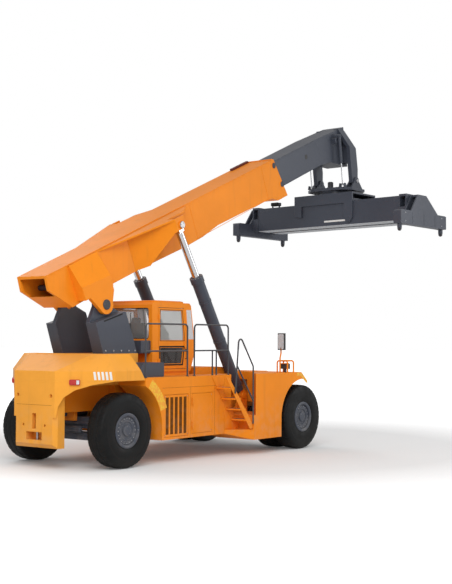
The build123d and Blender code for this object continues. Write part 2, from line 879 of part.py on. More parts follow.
# fixed glass: rear window, windscreen and skylight, seated in their frames
glass = 8.0
with BuildPart() as cab_glass:
    rear_pane = Plane(origin=(steer_x + cab_rear - 6, 0, 0), x_dir=(0, 1, 0), z_dir=(1, 0, 0))
    with BuildSketch(rear_pane.offset(18)):
        with Locations((0, 3125)):
            RectangleRounded(1339.4, 719.4, 59.7)
    extrude(amount=glass)
    screen = Plane(origin=(steer_x + 3100, 0, 3030), x_dir=(0, 1, 0), z_dir=(0.993, 0, 0.119))
    with BuildSketch(screen):
        RectangleRounded(1379.4, 950, 62)
    extrude(amount=glass)
    with BuildSketch(on_level(3590)):
        with Locations((2500, 0)):
            RectangleRounded(699.4, 899.4, 59.7)
    extrude(amount=glass)
finish("cab_glass", cab_glass)

# doors: hinged at the rear edge, an upper and a lower window in each
door_gap = 10.0
door_frame = [  # x, z
    (1850 + door_gap, cab_floor + door_gap),
    (1850 + door_gap, 3500 - door_gap),
    (2780 - door_gap, 3500 - door_gap),
    (2860 - door_gap, 2900),
    (2860 - door_gap, cab_floor + door_gap),
]
upper_window = [(1930, 2740), (1930, 3430), (2700, 3430), (2775, 2900), (2775, 2740)]
lower_window = [(1930, 2190), (1930, 2560), (2760, 2560), (2700, 2190)]
knuckle_radius = 14.0
hinge_y = cab_half + knuckle_radius + seat_gap

for side_name, side in (("right", -1), ("left", 1)):
    face = side * cab_half if side > 0 else -cab_half + door_thickness
    with BuildPart() as cab_door:
        with BuildSketch(on_side(face)):
            with BuildLine():
                Polyline(*door_frame, close=True)
            make_face()
            for window in (upper_window, lower_window):
                with BuildLine():
                    Polyline(*window, close=True)
                make_face(mode=Mode.SUBTRACT)
        extrude(amount=door_thickness)
        # hinge knuckles and the handle
        for z in (2260, 3280):
            with BuildSketch(on_level(z)):
                with Locations((1850, side * hinge_y)):
                    Circle(knuckle_radius)
                with Locations((1878, side * (cab_half + 6))):
                    Rectangle(54, 12)
            extrude(amount=50, both=True)
        with BuildSketch(on_side(side * (cab_half + 16) + 16)):
            with Locations((2810, 2640)):
                SlotOverall(170, 34, rotation=90)
        extrude(amount=32)
    finish(f"cab_door_{side_name}", cab_door)

    with BuildPart() as door_glass:
        with BuildSketch(on_side(side * (cab_half - 22) + glass / 2)):
            for window in (upper_window, lower_window):
                with BuildLine():
                    Polyline(*window, close=True)
                make_face()
        extrude(amount=glass)
    finish(f"door_glass_{side_name}", door_glass)

# operator's seat, console and cushion
seat_x = 2230.0
seat_z = cab_floor
with BuildPart() as operator_seat:
    with BuildSketch(on_level(seat_z)):
        with Locations((seat_x, 0)):
            Rectangle(420, 420)
    extrude(amount=60)
    with BuildSketch(on_level(seat_z + 60)):
        with Locations((seat_x, 0)):
            Rectangle(300, 300)
    extrude(amount=270)
    with BuildSketch(on_side(260)):
        with BuildLine():
            Polyline(
                (seat_x - 240, seat_z + 300), (seat_x + 260, seat_z + 330), (seat_x + 260, seat_z + 380),
                (seat_x - 170, seat_z + 380), (seat_x - 260, seat_z + 1080), (seat_x - 350, seat_z + 1080),
                close=True,
            )
        make_face()
    extrude(amount=520)
    # arm rests
    with BuildSketch(on_side(330)):
        with Locations((seat_x - 60, seat_z + 560)):
            Rectangle(330, 60)
    extrude(amount=70)
    with BuildSketch(on_side(-260)):
        with Locations((seat_x - 60, seat_z + 560)):
            Rectangle(330, 60)
    extrude(amount=70)
finish("operator_seat", operator_seat)

with BuildPart() as seat_cushion:
    with BuildSketch(on_level(seat_z + 380 + seat_gap)):
        with Locations((seat_x + 50, 0)):
            RectangleRounded(400, 480, 40)
    extrude(amount=90)
finish("seat_cushion", seat_cushion)

with BuildPart() as steering_console:
    with BuildSketch(on_side(150)):
        with BuildLine():
            Polyline(
                (2780, seat_z), (2980, seat_z), (2960, 2900), (2870, 2980), (2800, 2940),
                (2860, 2500), close=True,
            )
        make_face()
    extrude(amount=300)
    wheel_centre = (steer_x + 2740, 0, 2960)
    column = Plane(origin=wheel_centre, x_dir=(0, 1, 0), z_dir=(-0.5, 0, 0.866))
    with BuildSketch(column.offset(-160)):
        Circle(26)
    extrude(amount=150)
    with BuildSketch(column.offset(-14)):
        Circle(190)
        Circle(160, mode=Mode.SUBTRACT)
        Rectangle(330, 34)
        Circle(40)
    extrude(amount=28)
finish("steering_console", steering_console)

# ---------------------------------------------------------------- steps and rails
step_top = (2880.0, 1880.0)  # x, z of the stringers' upper ends
step_foot = (3800.0, 700.0)
step_in = body_half + 3.5
step_out = 2010.0
tread_count = 4

with BuildPart() as boarding_steps:
    run = step_foot[0] - step_top[0]
    rise = step_top[1] - step_foot[1]
    # stringers: the inner one against the body, the outer one free
    for y in (-step_in, -step_out):
        with BuildSketch(on_side(y)):
            with BuildLine():
                Polyline(
                    (step_top[0] - 60, step_top[1]), (step_top[0] + 60, step_top[1]),
                    (step_foot[0] + 60, step_foot[1] + 60), (step_foot[0] + 60, step_foot[1] - 60),
                    (step_foot[0] - 40, step_foot[1] - 60), close=True,
                )
            make_face()
        extrude(amount=12)
    for n in range(1, tread_count + 1):
        share = n / (tread_count + 0.6)
        with BuildSketch(on_side(-step_in - 11)):
            with Locations((step_top[0] + run * share, step_top[1] - rise * share)):
                Rectangle(250, 35)
        extrude(amount=step_out - step_in - 10)
    mirror(about=Plane.XZ)
finish("boarding_steps", boarding_steps)

rail_radius = 19.0
rail_y = 1575.0
rail_top = 3100.0
rail_mid = 2500.0
front_hoop = (2200.0, 3480.0)  # x of the rear post, x of the front post
rear_hoops = [  # side, x of the rear post, x of the front post
    (-1, 520, 1950),
    (1, 820, 1950),
]
step_rail = [  # x, z, on the steps' outer stringer
    (3150, 1500),
    (3280, 2780),
    (3400, 2760),
    (3860, 2120),
    (3860, 760),
]


def tube(points, bend):
    """A round tube along points, bent at the given radius."""
    with BuildLine() as path:
        if bend:
            FilletPolyline(*points, radius=bend)
        else:
            Polyline(*points)
    route = path.wires()[0]
    with BuildSketch(Plane(origin=route @ 0, z_dir=route % 0)) as cut:
        Circle(rail_radius)
    sweep(cut.sketch, path=route)


def hoop(y, rear_post, front_post):
    """A walkway rail: two bent posts, a middle rail and a foot under each post."""
    corners = [(rear_post, floor_z), (rear_post, rail_top), (front_post, rail_top), (front_post, floor_z)]
    tube([(steer_x + x, y, z) for x, z in corners], 90)
    tube([(steer_x + rear_post, y, rail_mid), (steer_x + front_post, y, rail_mid)], 0)
    with BuildSketch(on_level(floor_z)) as feet:
        with Locations((rear_post, y), (front_post, y)):
            Circle(38)
    extrude(feet.sketch, amount=12)


with BuildPart() as handrails:
    hoop(-rail_y, *front_hoop)
    for x in (2870, 3020):
        tube([(steer_x + x, -rail_y, floor_z), (steer_x + x, -rail_y, rail_mid)], 0)
    outer = -(step_out + 12 + rail_radius + seat_gap)
    tube([(steer_x + x, outer, z) for x, z in step_rail], 90)
    tube([(steer_x + 3215, outer, 2150), (steer_x + 3860, outer, 1300)], 0)
    mirror(about=Plane.XZ)
    for side, rear_post, front_post in rear_hoops:
        hoop(side * rail_y, rear_post, front_post)
finish("handrails", handrails)

# ---------------------------------------------------------------- cooler box, lamps and mirrors
with BuildPart() as cooler_box:
    with BuildSketch(on_side(-900)):
        with BuildLine():
            Polyline((720, floor_z), (1400, floor_z), (1400, 2240), (720, 2240), (600, 2100), close=True)
        make_face()
        fillet(vertices().group_by(Axis.Z)[-1], 30)
    extrude(amount=450)
finish("cooler_box", cooler_box)

# tail lamps sit square on the slanted rear corners of the body
corner_run = corner_x[1] - corner_x[0]
corner_rise = corner_y[1] - corner_y[0]
corner_length = hypot(corner_run, corner_rise)
tail_lamp_z = 1850.0
with BuildPart() as lamps:
    share = 0.33
    spot = (
        steer_x + corner_x[0] + corner_run * share,
        -corner_y[0] - corner_rise * share,
        tail_lamp_z,
    )
    outward = (-corner_rise / corner_length, -corner_run / corner_length, 0)
    with BuildSketch(Plane(origin=spot, x_dir=(corner_run, -corner_rise, 0), z_dir=outward)):
        RectangleRounded(230, 120, 30)
    extrude(amount=35)
    # work lamp on each front fender, inside a hoop guard
    with BuildSketch(on_side(-1760)):
        with Locations((wheelbase - 550, 2090)):
            RectangleRounded(110, 130, 20)
    extrude(amount=230)
    with BuildSketch(on_level(1940)):
        with Locations((wheelbase - 550, -1875)):
            Rectangle(40, 60)
    extrude(amount=100)
    mirror(about=Plane.XZ)
finish("lamps", lamps)

# mirror posts and lamp guards on the fenders
with BuildPart() as fender_fittings:
    for x in (wheelbase - 670, wheelbase - 400):
        guard = [(-1720, 1940), (-1720, 2230), (-2030, 2230), (-2030, 1940)]
        tube([(steer_x + x, y, z) for y, z in guard], 60)
    for y in (-1780, -1970):
        tube([(drive_x - 670, y, 2230), (drive_x - 400, y, 2230)], 0)
    bend = ((-880, 1940), (-880, 2300), (-840, 2420), (-840, 2560))
    post = [(wheelbase + x, z) for x, z in bend]
    tube([(steer_x + x, -1950, z) for x, z in post], 40)
    with BuildSketch(on_level(2500)):
        with Locations((wheelbase - 810, -1950)):
            RectangleRounded(70, 210, 20)
    extrude(amount=420)
    mirror(about=Plane.XZ)
finish("fender_fittings", fender_fittings)

# ---------------------------------------------------------------- lift cylinders
eye = boom_point(*lift_top)
eye_x = eye[0] - steer_x
eye_z = eye[2]
lift_length = hypot(eye_x - lift_base[0], eye_z - lift_base[1])
lift_dir = ((eye_x - lift_base[0]) / lift_length, (eye_z - lift_base[1]) / lift_length)


def on_lift_side(y):
    """Upright plane facing right, x along the lift cylinder from its foot pin."""
    origin = (steer_x + lift_base[0], y, lift_base[1])
    return Plane(origin=origin, x_dir=(lift_dir[0], 0, lift_dir[1]), z_dir=(0, -1, 0))


def on_lift_end(length, y):
    """Plane square to the lift cylinder, length from its foot pin."""
    origin = (
        steer_x + lift_base[0] + lift_dir[0] * length,
        y,
        lift_base[1] + lift_dir[1] * length,
    )
    return Plane(origin=origin, x_dir=(0, 1, 0), z_dir=(lift_dir[0], 0, lift_dir[1]))


eye_radius = 125.0
eye_half = 88.0
eye_pin = 70.0
barrel_foot = 165.0  # from the foot pin to the barrel's closed end

for side_name, side in (("right", -1), ("left", 1)):
    track = side * lift_track
    with BuildPart() as lift_barrel:
        with BuildSketch(on_lift_end(barrel_foot, track)):
            Circle(barrel_radius)
        extrude(amount=barrel_length - barrel_foot)
        with BuildSketch(on_lift_end(barrel_foot + 60, track)):
            Circle(rod_radius + running)
        extrude(amount=barrel_length - barrel_foot - 60, mode=Mode.SUBTRACT)
        # gland collar
        with BuildSketch(on_lift_end(barrel_length - 150, track)):
            Circle(barrel_radius + 16)
            Circle(rod_radius + running, mode=Mode.SUBTRACT)
        extrude(amount=150)
        with BuildSketch(on_lift_side(track + lug_gap - clearance)):
            with BuildLine():
                Polyline((0, -130), (barrel_foot + 10, -130), (barrel_foot + 10, 130), (0, 130), close=True)
            make_face()
            Circle(130)
            Circle(foot_pin + running, mode=Mode.SUBTRACT)
        extrude(amount=2 * (lug_gap - clearance))
    finish(f"lift_barrel_{side_name}", lift_barrel)

    with BuildPart() as lift_rod:
        with BuildSketch(on_lift_end(barrel_length - rod_hidden, track)):
            Circle(rod_radius)
        extrude(amount=lift_length - eye_radius - 30 - barrel_length + rod_hidden)
        with BuildSketch(on_lift_side(track + eye_half)):
            with Locations((lift_length, 0)):
                Circle(eye_radius)
            with Locations((lift_length - 130, 0)):
                Rectangle(110, 170)
            with Locations((lift_length, 0)):
                Circle(eye_pin, mode=Mode.SUBTRACT)
        extrude(amount=2 * eye_half)
    finish(f"lift_rod_{side_name}", lift_rod)

# ---------------------------------------------------------------- outer boom
boom_top = 1145.0
boom_outline = [  # u, w
    (boom_rear, 1145),
    (boom_rear - 40, 820),
    (-750, 240),
    (650, 262),
    (1600, 250),
    (3300, 180),
    (4100, 185),
    (4800, 260),
    (6900, 200),
    (7380, 170),
    (7640, 30),
    (8130, 30),
    (boom_front, 1145),
]
bore_bottom = 270.0
tail_rim = 70.0  # thickness of the wall round the tail's opening
boom_pads = [  # u, w: bolted covers over the wear pads at the boom's front
    (7790, 980),
    (7975, 400),
]
half_boom = boom_width / 2

with BuildPart() as outer_boom:
    with BuildSketch(on_boom_side(half_boom)):
        with BuildLine():
            Polyline(*boom_outline, close=True)
        make_face()
    extrude(amount=boom_width)
    # bore for the inner boom, with a thicker rim round the opening at the tail
    with BuildSketch(on_boom_side(half_boom - boom_wall)):
        with BuildLine():
            Polyline(
                (boom_rear + 40, boom_top - boom_wall), (boom_rear + 40, 800), (-740, bore_bottom),
                (8200, bore_bottom), (8200, boom_top - boom_wall), close=True,
            )
        make_face()
    extrude(amount=boom_width - 2 * boom_wall, mode=Mode.SUBTRACT)
    with BuildSketch(on_boom_side(half_boom - tail_rim)):
        with BuildLine():
            Polyline(
                (boom_rear - 200, boom_top - 60), (boom_rear - 200, 880), (-700, bore_bottom + 60),
                (0, bore_bottom + 60), (0, boom_top - 60), close=True,
            )
        make_face()
    extrude(amount=boom_width - 2 * tail_rim, mode=Mode.SUBTRACT)
    # covers over the wear pads, two on each side
    with BuildSketch(on_boom_side(half_boom + 14)):
        with Locations(*boom_pads):
            Circle(75)
    extrude(amount=15)
    with BuildSketch(on_boom_side(-half_boom + 1)):
        with Locations(*boom_pads):
            Circle(75)
    extrude(amount=15)
finish("outer_boom", outer_boom)

# ---------------------------------------------------------------- boom feet
with BuildPart() as boom_feet:
    # side plate outside the tower's lug
    with BuildSketch(on_boom_side(-flange_inner)):
        with BuildLine():
            Polyline((-560, 600), (-540, 540), (-190, -80), (190, -60), (350, 210), (370, 560), close=True)
        make_face()
        Circle(215)
    extrude(amount=flange_outer - flange_inner)
    # gusset sloping in from the plate to the top of the boom
    with BuildSketch(on_boom_end(-560)):
        with BuildLine():
            Polyline(
                (half_boom + 0.5, 310), (flange_outer, 310), (flange_outer, 560), (half_boom + 40, 1120),
                (half_boom + 0.5, 1120), close=True,
            )
        make_face()
    extrude(amount=930)
    mirror(about=Plane.XZ)
    # foot pins, one on each side
    for near in (-tower_inner - 5, flange_outer + 12):
        with BuildSketch(on_boom_side(near)):
            Circle(foot_pin_radius)
        extrude(amount=flange_outer + 7 - tower_inner)
finish("boom_feet", boom_feet)

# ---------------------------------------------------------------- lift brackets
wing_outer = 1044.0
wing_plan = [  # u, y: the sloping side panel
    (1440, half_boom + sheet_gap),
    (2560, wing_outer),
    (2900, wing_outer),
    (2900, wing_outer - 40),
    (2580, wing_outer - 40),
    (1560, half_boom + sheet_gap),
]
bracket_lug = 735.0  # outer face of the lug beside the boom
stub_gap = rod_radius + clearance  # from the cylinder's middle to the pin stubs
with BuildPart() as lift_brackets:
    # side panel, cut along the slanting lower edge
    with BuildSketch(on_boom_top(260)):
        with BuildLine():
            Polyline(*[(u, -y) for u, y in wing_plan], close=True)
        make_face()
    extrude(amount=850)
    with BuildSketch(on_boom_side(-half_boom)):
        with BuildLine():
            Polyline(
                (1700, 200), (2480, 790), (2600, 820), (2730, 815), (2860, 840), (3000, 840),
                (3000, 100), (1700, 100), close=True,
            )
        make_face()
    extrude(amount=800, mode=Mode.SUBTRACT)
    # roof panel, narrowing to the inner lug where the rod's eye swings
    with BuildSketch(on_boom_top(1080)):
        with BuildLine():
            Polyline(
                (450, -half_boom - sheet_gap), (2560, -wing_outer), (2560, -800), (3250, -800),
                (3750, -half_boom - sheet_gap), close=True,
            )
        make_face()
    extrude(amount=40)
    # inner lug between the boom and the eye
    with BuildSketch(on_boom_side(-half_boom - sheet_gap)):
        with BuildLine():
            Polyline((2450, 1081), (3250, 1081), (3250, 760), (2950, 740), (2600, 760), close=True)
        make_face()
    extrude(amount=bracket_lug - half_boom - sheet_gap)
    # pin stubs, short of the eye between them
    for near, far in ((bracket_lug - 1, lift_track - stub_gap), (lift_track + stub_gap, wing_outer + 30)):
        with BuildSketch(on_boom_side(-near)):
            with Locations(lift_top):
                Circle(eye_pin + 20)
        extrude(amount=far - near)
    mirror(about=Plane.XZ)
finish("lift_brackets", lift_brackets)

# ---------------------------------------------------------------- telescope cylinder
with BuildPart() as telescope_barrel:
    with BuildSketch(on_boom_end(-640)):
        with Locations((0, 700)):
            Circle(110)
    extrude(amount=6940)
    # cross pin through the boom's tail
    with BuildSketch(on_boom_side(half_boom - boom_wall - 0.3)):
        with Locations((-720, 700)):
            Circle(60)
    extrude(amount=boom_width - 2 * boom_wall - 0.6)
    with BuildSketch(on_boom_side(70)):
        with Locations((-690, 700)):
            Rectangle(200, 220)
    extrude(amount=140)
finish("telescope_barrel", telescope_barrel)

# ---------------------------------------------------------------- inner boom
half_inner = inner_width / 2
inner_top = inner_bottom + inner_depth
with BuildPart() as inner_boom:
    with BuildSketch(on_boom_end(inner_rear)):
        with Locations((0, (inner_bottom + inner_top) / 2)):
            Rectangle(inner_width, inner_depth)
            Rectangle(inner_width - 2 * inner_wall, inner_depth - 2 * inner_wall, mode=Mode.SUBTRACT)
    extrude(amount=10300 - inner_rear)
    # wear pads on all four sides of its tail
    with BuildSketch(on_boom_end(inner_rear + 60)):
        with Locations((0, (272 + inner_bottom) / 2 + 1.2)):
            Rectangle(480, inner_bottom - 272 - 1.6)
        with Locations((0, (inner_top + boom_top - boom_wall) / 2 - 1)):
            Rectangle(480, boom_top - boom_wall - inner_top - 2)
        for side in (-1, 1):
            with Locations((side * (half_inner + half_boom - boom_wall - 0.3) / 2, 700)):
                Rectangle(half_boom - boom_wall - 0.3 - half_inner, 420)
    extrude(amount=300)
finish("inner_boom", inner_boom)

# ---------------------------------------------------------------- boom head
head_box = [  # x, z
    (10030, 8010),
    (11000, 8000),
    (10760, 9170),
]
leg_sections = [  # z, x of the rear and front faces, y of the inner and outer faces
    (9060, 10420, 10780, 220, 380),
    (8520, 10600, 10960, leg_inner, leg_outer),
    (7900, 10690, 11070, leg_inner, leg_outer),
]
head_pin_radius = 60.0
head_joint_u = 10301.0
pin_x = head_x - steer_x
damper_top = (pin_x - 715, head_z + 1265)
damper_foot = (pin_x - 520, head_z - 140)
damper_y = 545.0
damper_pin = 22.0
damper_lug = damper_y - 50  # outer face of the lug beside the barrel's eye

with BuildPart() as boom_head:
    with BuildSketch(on_side(half_inner)):
        with BuildLine():
            low = boom_point(head_joint_u, inner_bottom)
            high = boom_point(head_joint_u, inner_top)
            Polyline((low[0] - steer_x, low[2]), *head_box, (high[0] - steer_x, high[2]), close=True)
        make_face()
    extrude(amount=inner_width)
    # legs flaring out from the box and down to the head pins
    for top, low in zip(leg_sections, leg_sections[1:]):
        for z, rear_face, front_face, inner, outer in (top, low):
            with BuildSketch(on_level(z)):
                with Locations(((rear_face + front_face) / 2, -(inner + outer) / 2)):
                    Rectangle(front_face - rear_face, outer - inner)
        loft(ruled=True)
    with BuildSketch(on_side(-leg_inner)):
        with BuildLine():
            Polyline((10690, 7901), (10760, head_z - 60), (pin_x + 125, head_z), (11070, 7901), close=True)
        make_face()
        with Locations((pin_x, head_z)):
            Circle(125)
            Circle(head_pin_radius + running, mode=Mode.SUBTRACT)
    extrude(amount=leg_outer - leg_inner)
    # web between the box and each leg
    with BuildSketch(on_side(-half_inner + 20)):
        with BuildLine():
            Polyline((10700, 8080), (10960, 8080), (10900, 8560), (10720, 8700), close=True)
        make_face()
    extrude(amount=leg_inner - half_inner + 30)
    # lug that carries the damper's upper pin
    with BuildSketch(on_side(-half_inner + 20)):
        with BuildLine():
            Polyline((10060, 8700), (10400, 8860), (10420, 8660), (10130, 8560), close=True)
        make_face()
        with Locations(damper_top):
            Circle(70)
    extrude(amount=damper_lug - half_inner + 20)
    with BuildSketch(on_side(-damper_lug + 20)):
        with Locations(damper_top):
            Circle(damper_pin)
    extrude(amount=damper_y + 55 - damper_lug + 20)
    mirror(about=Plane.XZ)
finish("boom_head", boom_head)

# ---------------------------------------------------------------- hanger
ear_gap = 6.0
ear_thickness = 45.0
hanger_top = head_z - 225
hanger_thickness = 80.0
ring_radius = 560.0

with BuildPart() as hanger:
    with BuildSketch(on_level(hanger_top)):
        with Locations((pin_x, 0)):
            Rectangle(1240, 1560)
        chamfer(vertices(), 260)
    extrude(amount=-hanger_thickness)
    # two ears round each leg of the head
    for near in (leg_inner - ear_gap - ear_thickness, leg_outer + ear_gap):
        with BuildSketch(on_side(-near)):
            with BuildLine():
                Polyline(
                    (pin_x - 330, hanger_top - 1), (pin_x + 330, hanger_top - 1), (pin_x + 110, head_z),
                    (pin_x - 110, head_z), close=True,
                )
            make_face()
            with Locations((pin_x, head_z)):
                Circle(115)
        extrude(amount=ear_thickness)
    # lugs for the dampers' feet, with room for the eyes between them
    for near in (damper_y - 95, damper_y + 65):
        with BuildSketch(on_side(-near)):
            with BuildLine():
                Polyline(
                    (damper_foot[0] - 70, hanger_top - 1), (damper_foot[0] + 70, hanger_top - 1),
                    (damper_foot[0] + 40, damper_foot[1] + 30), (damper_foot[0] - 40, damper_foot[1] + 30),
                    close=True,
                )
            make_face()
        extrude(amount=30)
    mirror(about=Plane.XZ)
    # head pins
    for near in (-leg_inner + 60, leg_outer + 65):
        with BuildSketch(on_side(near)):
            with Locations((pin_x, head_z)):
                Circle(head_pin_radius)
        extrude(amount=leg_outer - leg_inner + 125)
    # slewing ring's fixed race
    with BuildSketch(on_level(hanger_top - hanger_thickness)):
        with Locations((pin_x, 0)):
            Circle(ring_radius)
    extrude(amount=-40)
finish("hanger", hanger)

# ---------------------------------------------------------------- dampers
damper_span = hypot(damper_top[0] - damper_foot[0], damper_top[1] - damper_foot[1])
damper_hidden = 405.0  # from the upper pin to the rod's end inside the barrel
damper_dir = (
    (damper_foot[0] - damper_top[0]) / damper_span,
    (damper_foot[1] - damper_top[1]) / damper_span,
)


def on_damper(length, y):
    """Plane square to a damper, length below its upper pin."""
    origin = (
        steer_x + damper_top[0] + damper_dir[0] * length,
        y,
        damper_top[1] + damper_dir[1] * length,
    )
    return Plane(origin=origin, x_dir=(0, 1, 0), z_dir=(damper_dir[0], 0, damper_dir[1]))


with BuildPart() as damper_barrels:
    for y in (-damper_y, damper_y):
        with BuildSketch(on_damper(40, y)):
            Circle(45)
            Circle(18 + running, mode=Mode.SUBTRACT)
        extrude(amount=760)
        with BuildSketch(on_side(y + 40)):
            with Locations(damper_top):
                Circle(55)
                Circle(damper_pin + running, mode=Mode.SUBTRACT)
        extrude(amount=80)
finish("damper_barrels", damper_barrels)

with BuildPart() as damper_rods:
    for y in (-damper_y, damper_y):
        with BuildSketch(on_damper(damper_hidden, y)):
            Circle(18)
        extrude(amount=damper_span - 30 - damper_hidden)
        with BuildSketch(on_side(y + 22)):
            with Locations(damper_foot):
                Circle(34)
                Circle(16, mode=Mode.SUBTRACT)
        extrude(amount=44)
finish("damper_rods", damper_rods)

# ---------------------------------------------------------------- slew and side-shift frame
ring_bottom = hanger_top - hanger_thickness - 40 - seat_gap
beam_top_z = head_z - beam_drop
beam_low_z = beam_top_z - beam_depth
hook_x = beam_centre + beam_width / 2 + slide_gap
hook_thickness = 45.0
hook_outline = [  # y, height above the beams' bottoms
    (-1000, beam_depth + 235),
    (1120, beam_depth + 235),
    (1120, 340),
    (860, 300),
    (860, beam_depth - 60),
    (-700, beam_depth - 60),
    (-700, 240),
    (-760, 90),
    (-900, 60),
    (-1000, 200),
]

with BuildPart() as slew_frame:
    with BuildSketch(on_spreader(ring_bottom)):
        Circle(ring_radius - 30)
    extrude(amount=-60)
    with BuildSketch(on_spreader(ring_bottom - 60)):
        with Locations((0, 60)):
            Rectangle(2 * (hook_x + hook_thickness), 2120)
    extrude(amount=-50)
    for x in (-hook_x - hook_thickness, hook_x):
        with BuildSketch(on_spreader_side(x, beam_low_z)):
            with BuildLine():
                Polyline(*[(-y, min(z, ring_bottom - 61 - beam_low_z)) for y, z in hook_outline], close=True)
            make_face()
        extrude(amount=-hook_thickness)
    # cross bars between the hooks, above and below the beams
    for y in (-850, 990):
        with BuildSketch(on_spreader_end(y + 60, 0)):
            with Locations((0, beam_top_z + slide_gap + 45)):
                Rectangle(2 * hook_x + 2, 90)
        extrude(amount=120)
        # slide pads that rest on the beams
        with BuildSketch(on_spreader(beam_top_z + seat_gap)):
            with Locations((-beam_centre, y), (beam_centre, y)):
                Rectangle(300, 100)
        extrude(amount=slide_gap - seat_gap + 1)
finish("slew_frame", slew_frame)

# ---------------------------------------------------------------- spreader's main beams
lamp_y = 2050.0
with BuildPart() as spreader_beam:
    for x in (-beam_centre, beam_centre):
        with BuildSketch(on_spreader_end(beam_half)):
            with Locations((x, beam_top_z - beam_depth / 2)):
                Rectangle(beam_width, beam_depth)
                Rectangle(beam_width - 2 * beam_wall, beam_depth - 2 * beam_wall, mode=Mode.SUBTRACT)
        extrude(amount=2 * beam_half)
    # ties between the two beams
    tie = 2 * beam_centre - beam_width
    for y in (-2300, -1500, 0, 1500, 2300):
        with BuildSketch(on_spreader_end(y + 60)):
            with Locations((0, beam_top_z - beam_depth / 2)):
                Rectangle(tie, beam_depth - 120)
        extrude(amount=120)
    # hoop with a work lamp on the rear beam
    with BuildSketch(on_spreader(beam_top_z - 1)):
        with Locations((-beam_centre, lamp_y - 130), (-beam_centre, lamp_y + 130)):
            Rectangle(40, 34)
    extrude(amount=130)
    with BuildSketch(on_spreader(beam_top_z + 90)):
        with Locations((-beam_centre, lamp_y)):
            RectangleRounded(130, 330, 30)
    extrude(amount=80)
finish("spreader_beam", spreader_beam)

# ---------------------------------------------------------------- telescopic arms and end beams
arm_gap = 4.0
arm_width = beam_width - 2 * (beam_wall + arm_gap)
arm_depth = beam_depth - 2 * (beam_wall + arm_gap)
arm_wall = 14.0
arm_reach = 4900.0  # length of an arm behind its end beam
pad_thickness = arm_gap - seat_gap
end_half = 1250.0
end_depth = 390.0
end_width = 240.0
end_top_z = head_z - 1130.0
end_outline = [  # x, z
    (-end_half, end_top_z - end_depth),
    (-end_half, end_top_z - 40),
    (-end_half + 60, end_top_z),
    (end_half - 60, end_top_z),
    (end_half, end_top_z - 40),
    (end_half, end_top_z - end_depth),
]
lock_y = lock_length / 2
lock_x = lock_width / 2
lock_shank = 34.0
lock_house = 66.0  # radius of the housing round each twistlock
lock_head_sections = [  # z, length, width
    (lock_tip_z + 76, 104, 58),
    (lock_tip_z + 40, 104, 58),
    (lock_tip_z, 44, 30),
]
head_gap = 10.0  # from the beams' ends to the arm's head box
head_half = 575.0
head_rise = 45.0  # of the head box above the beams
gusset = [  # x, z of the plates between the head box and the end beam
    (-700, end_top_z - 10),
    (-330, beam_top_z + 20),
    (130, beam_top_z + 20),
    (790, end_top_z - 10),
]

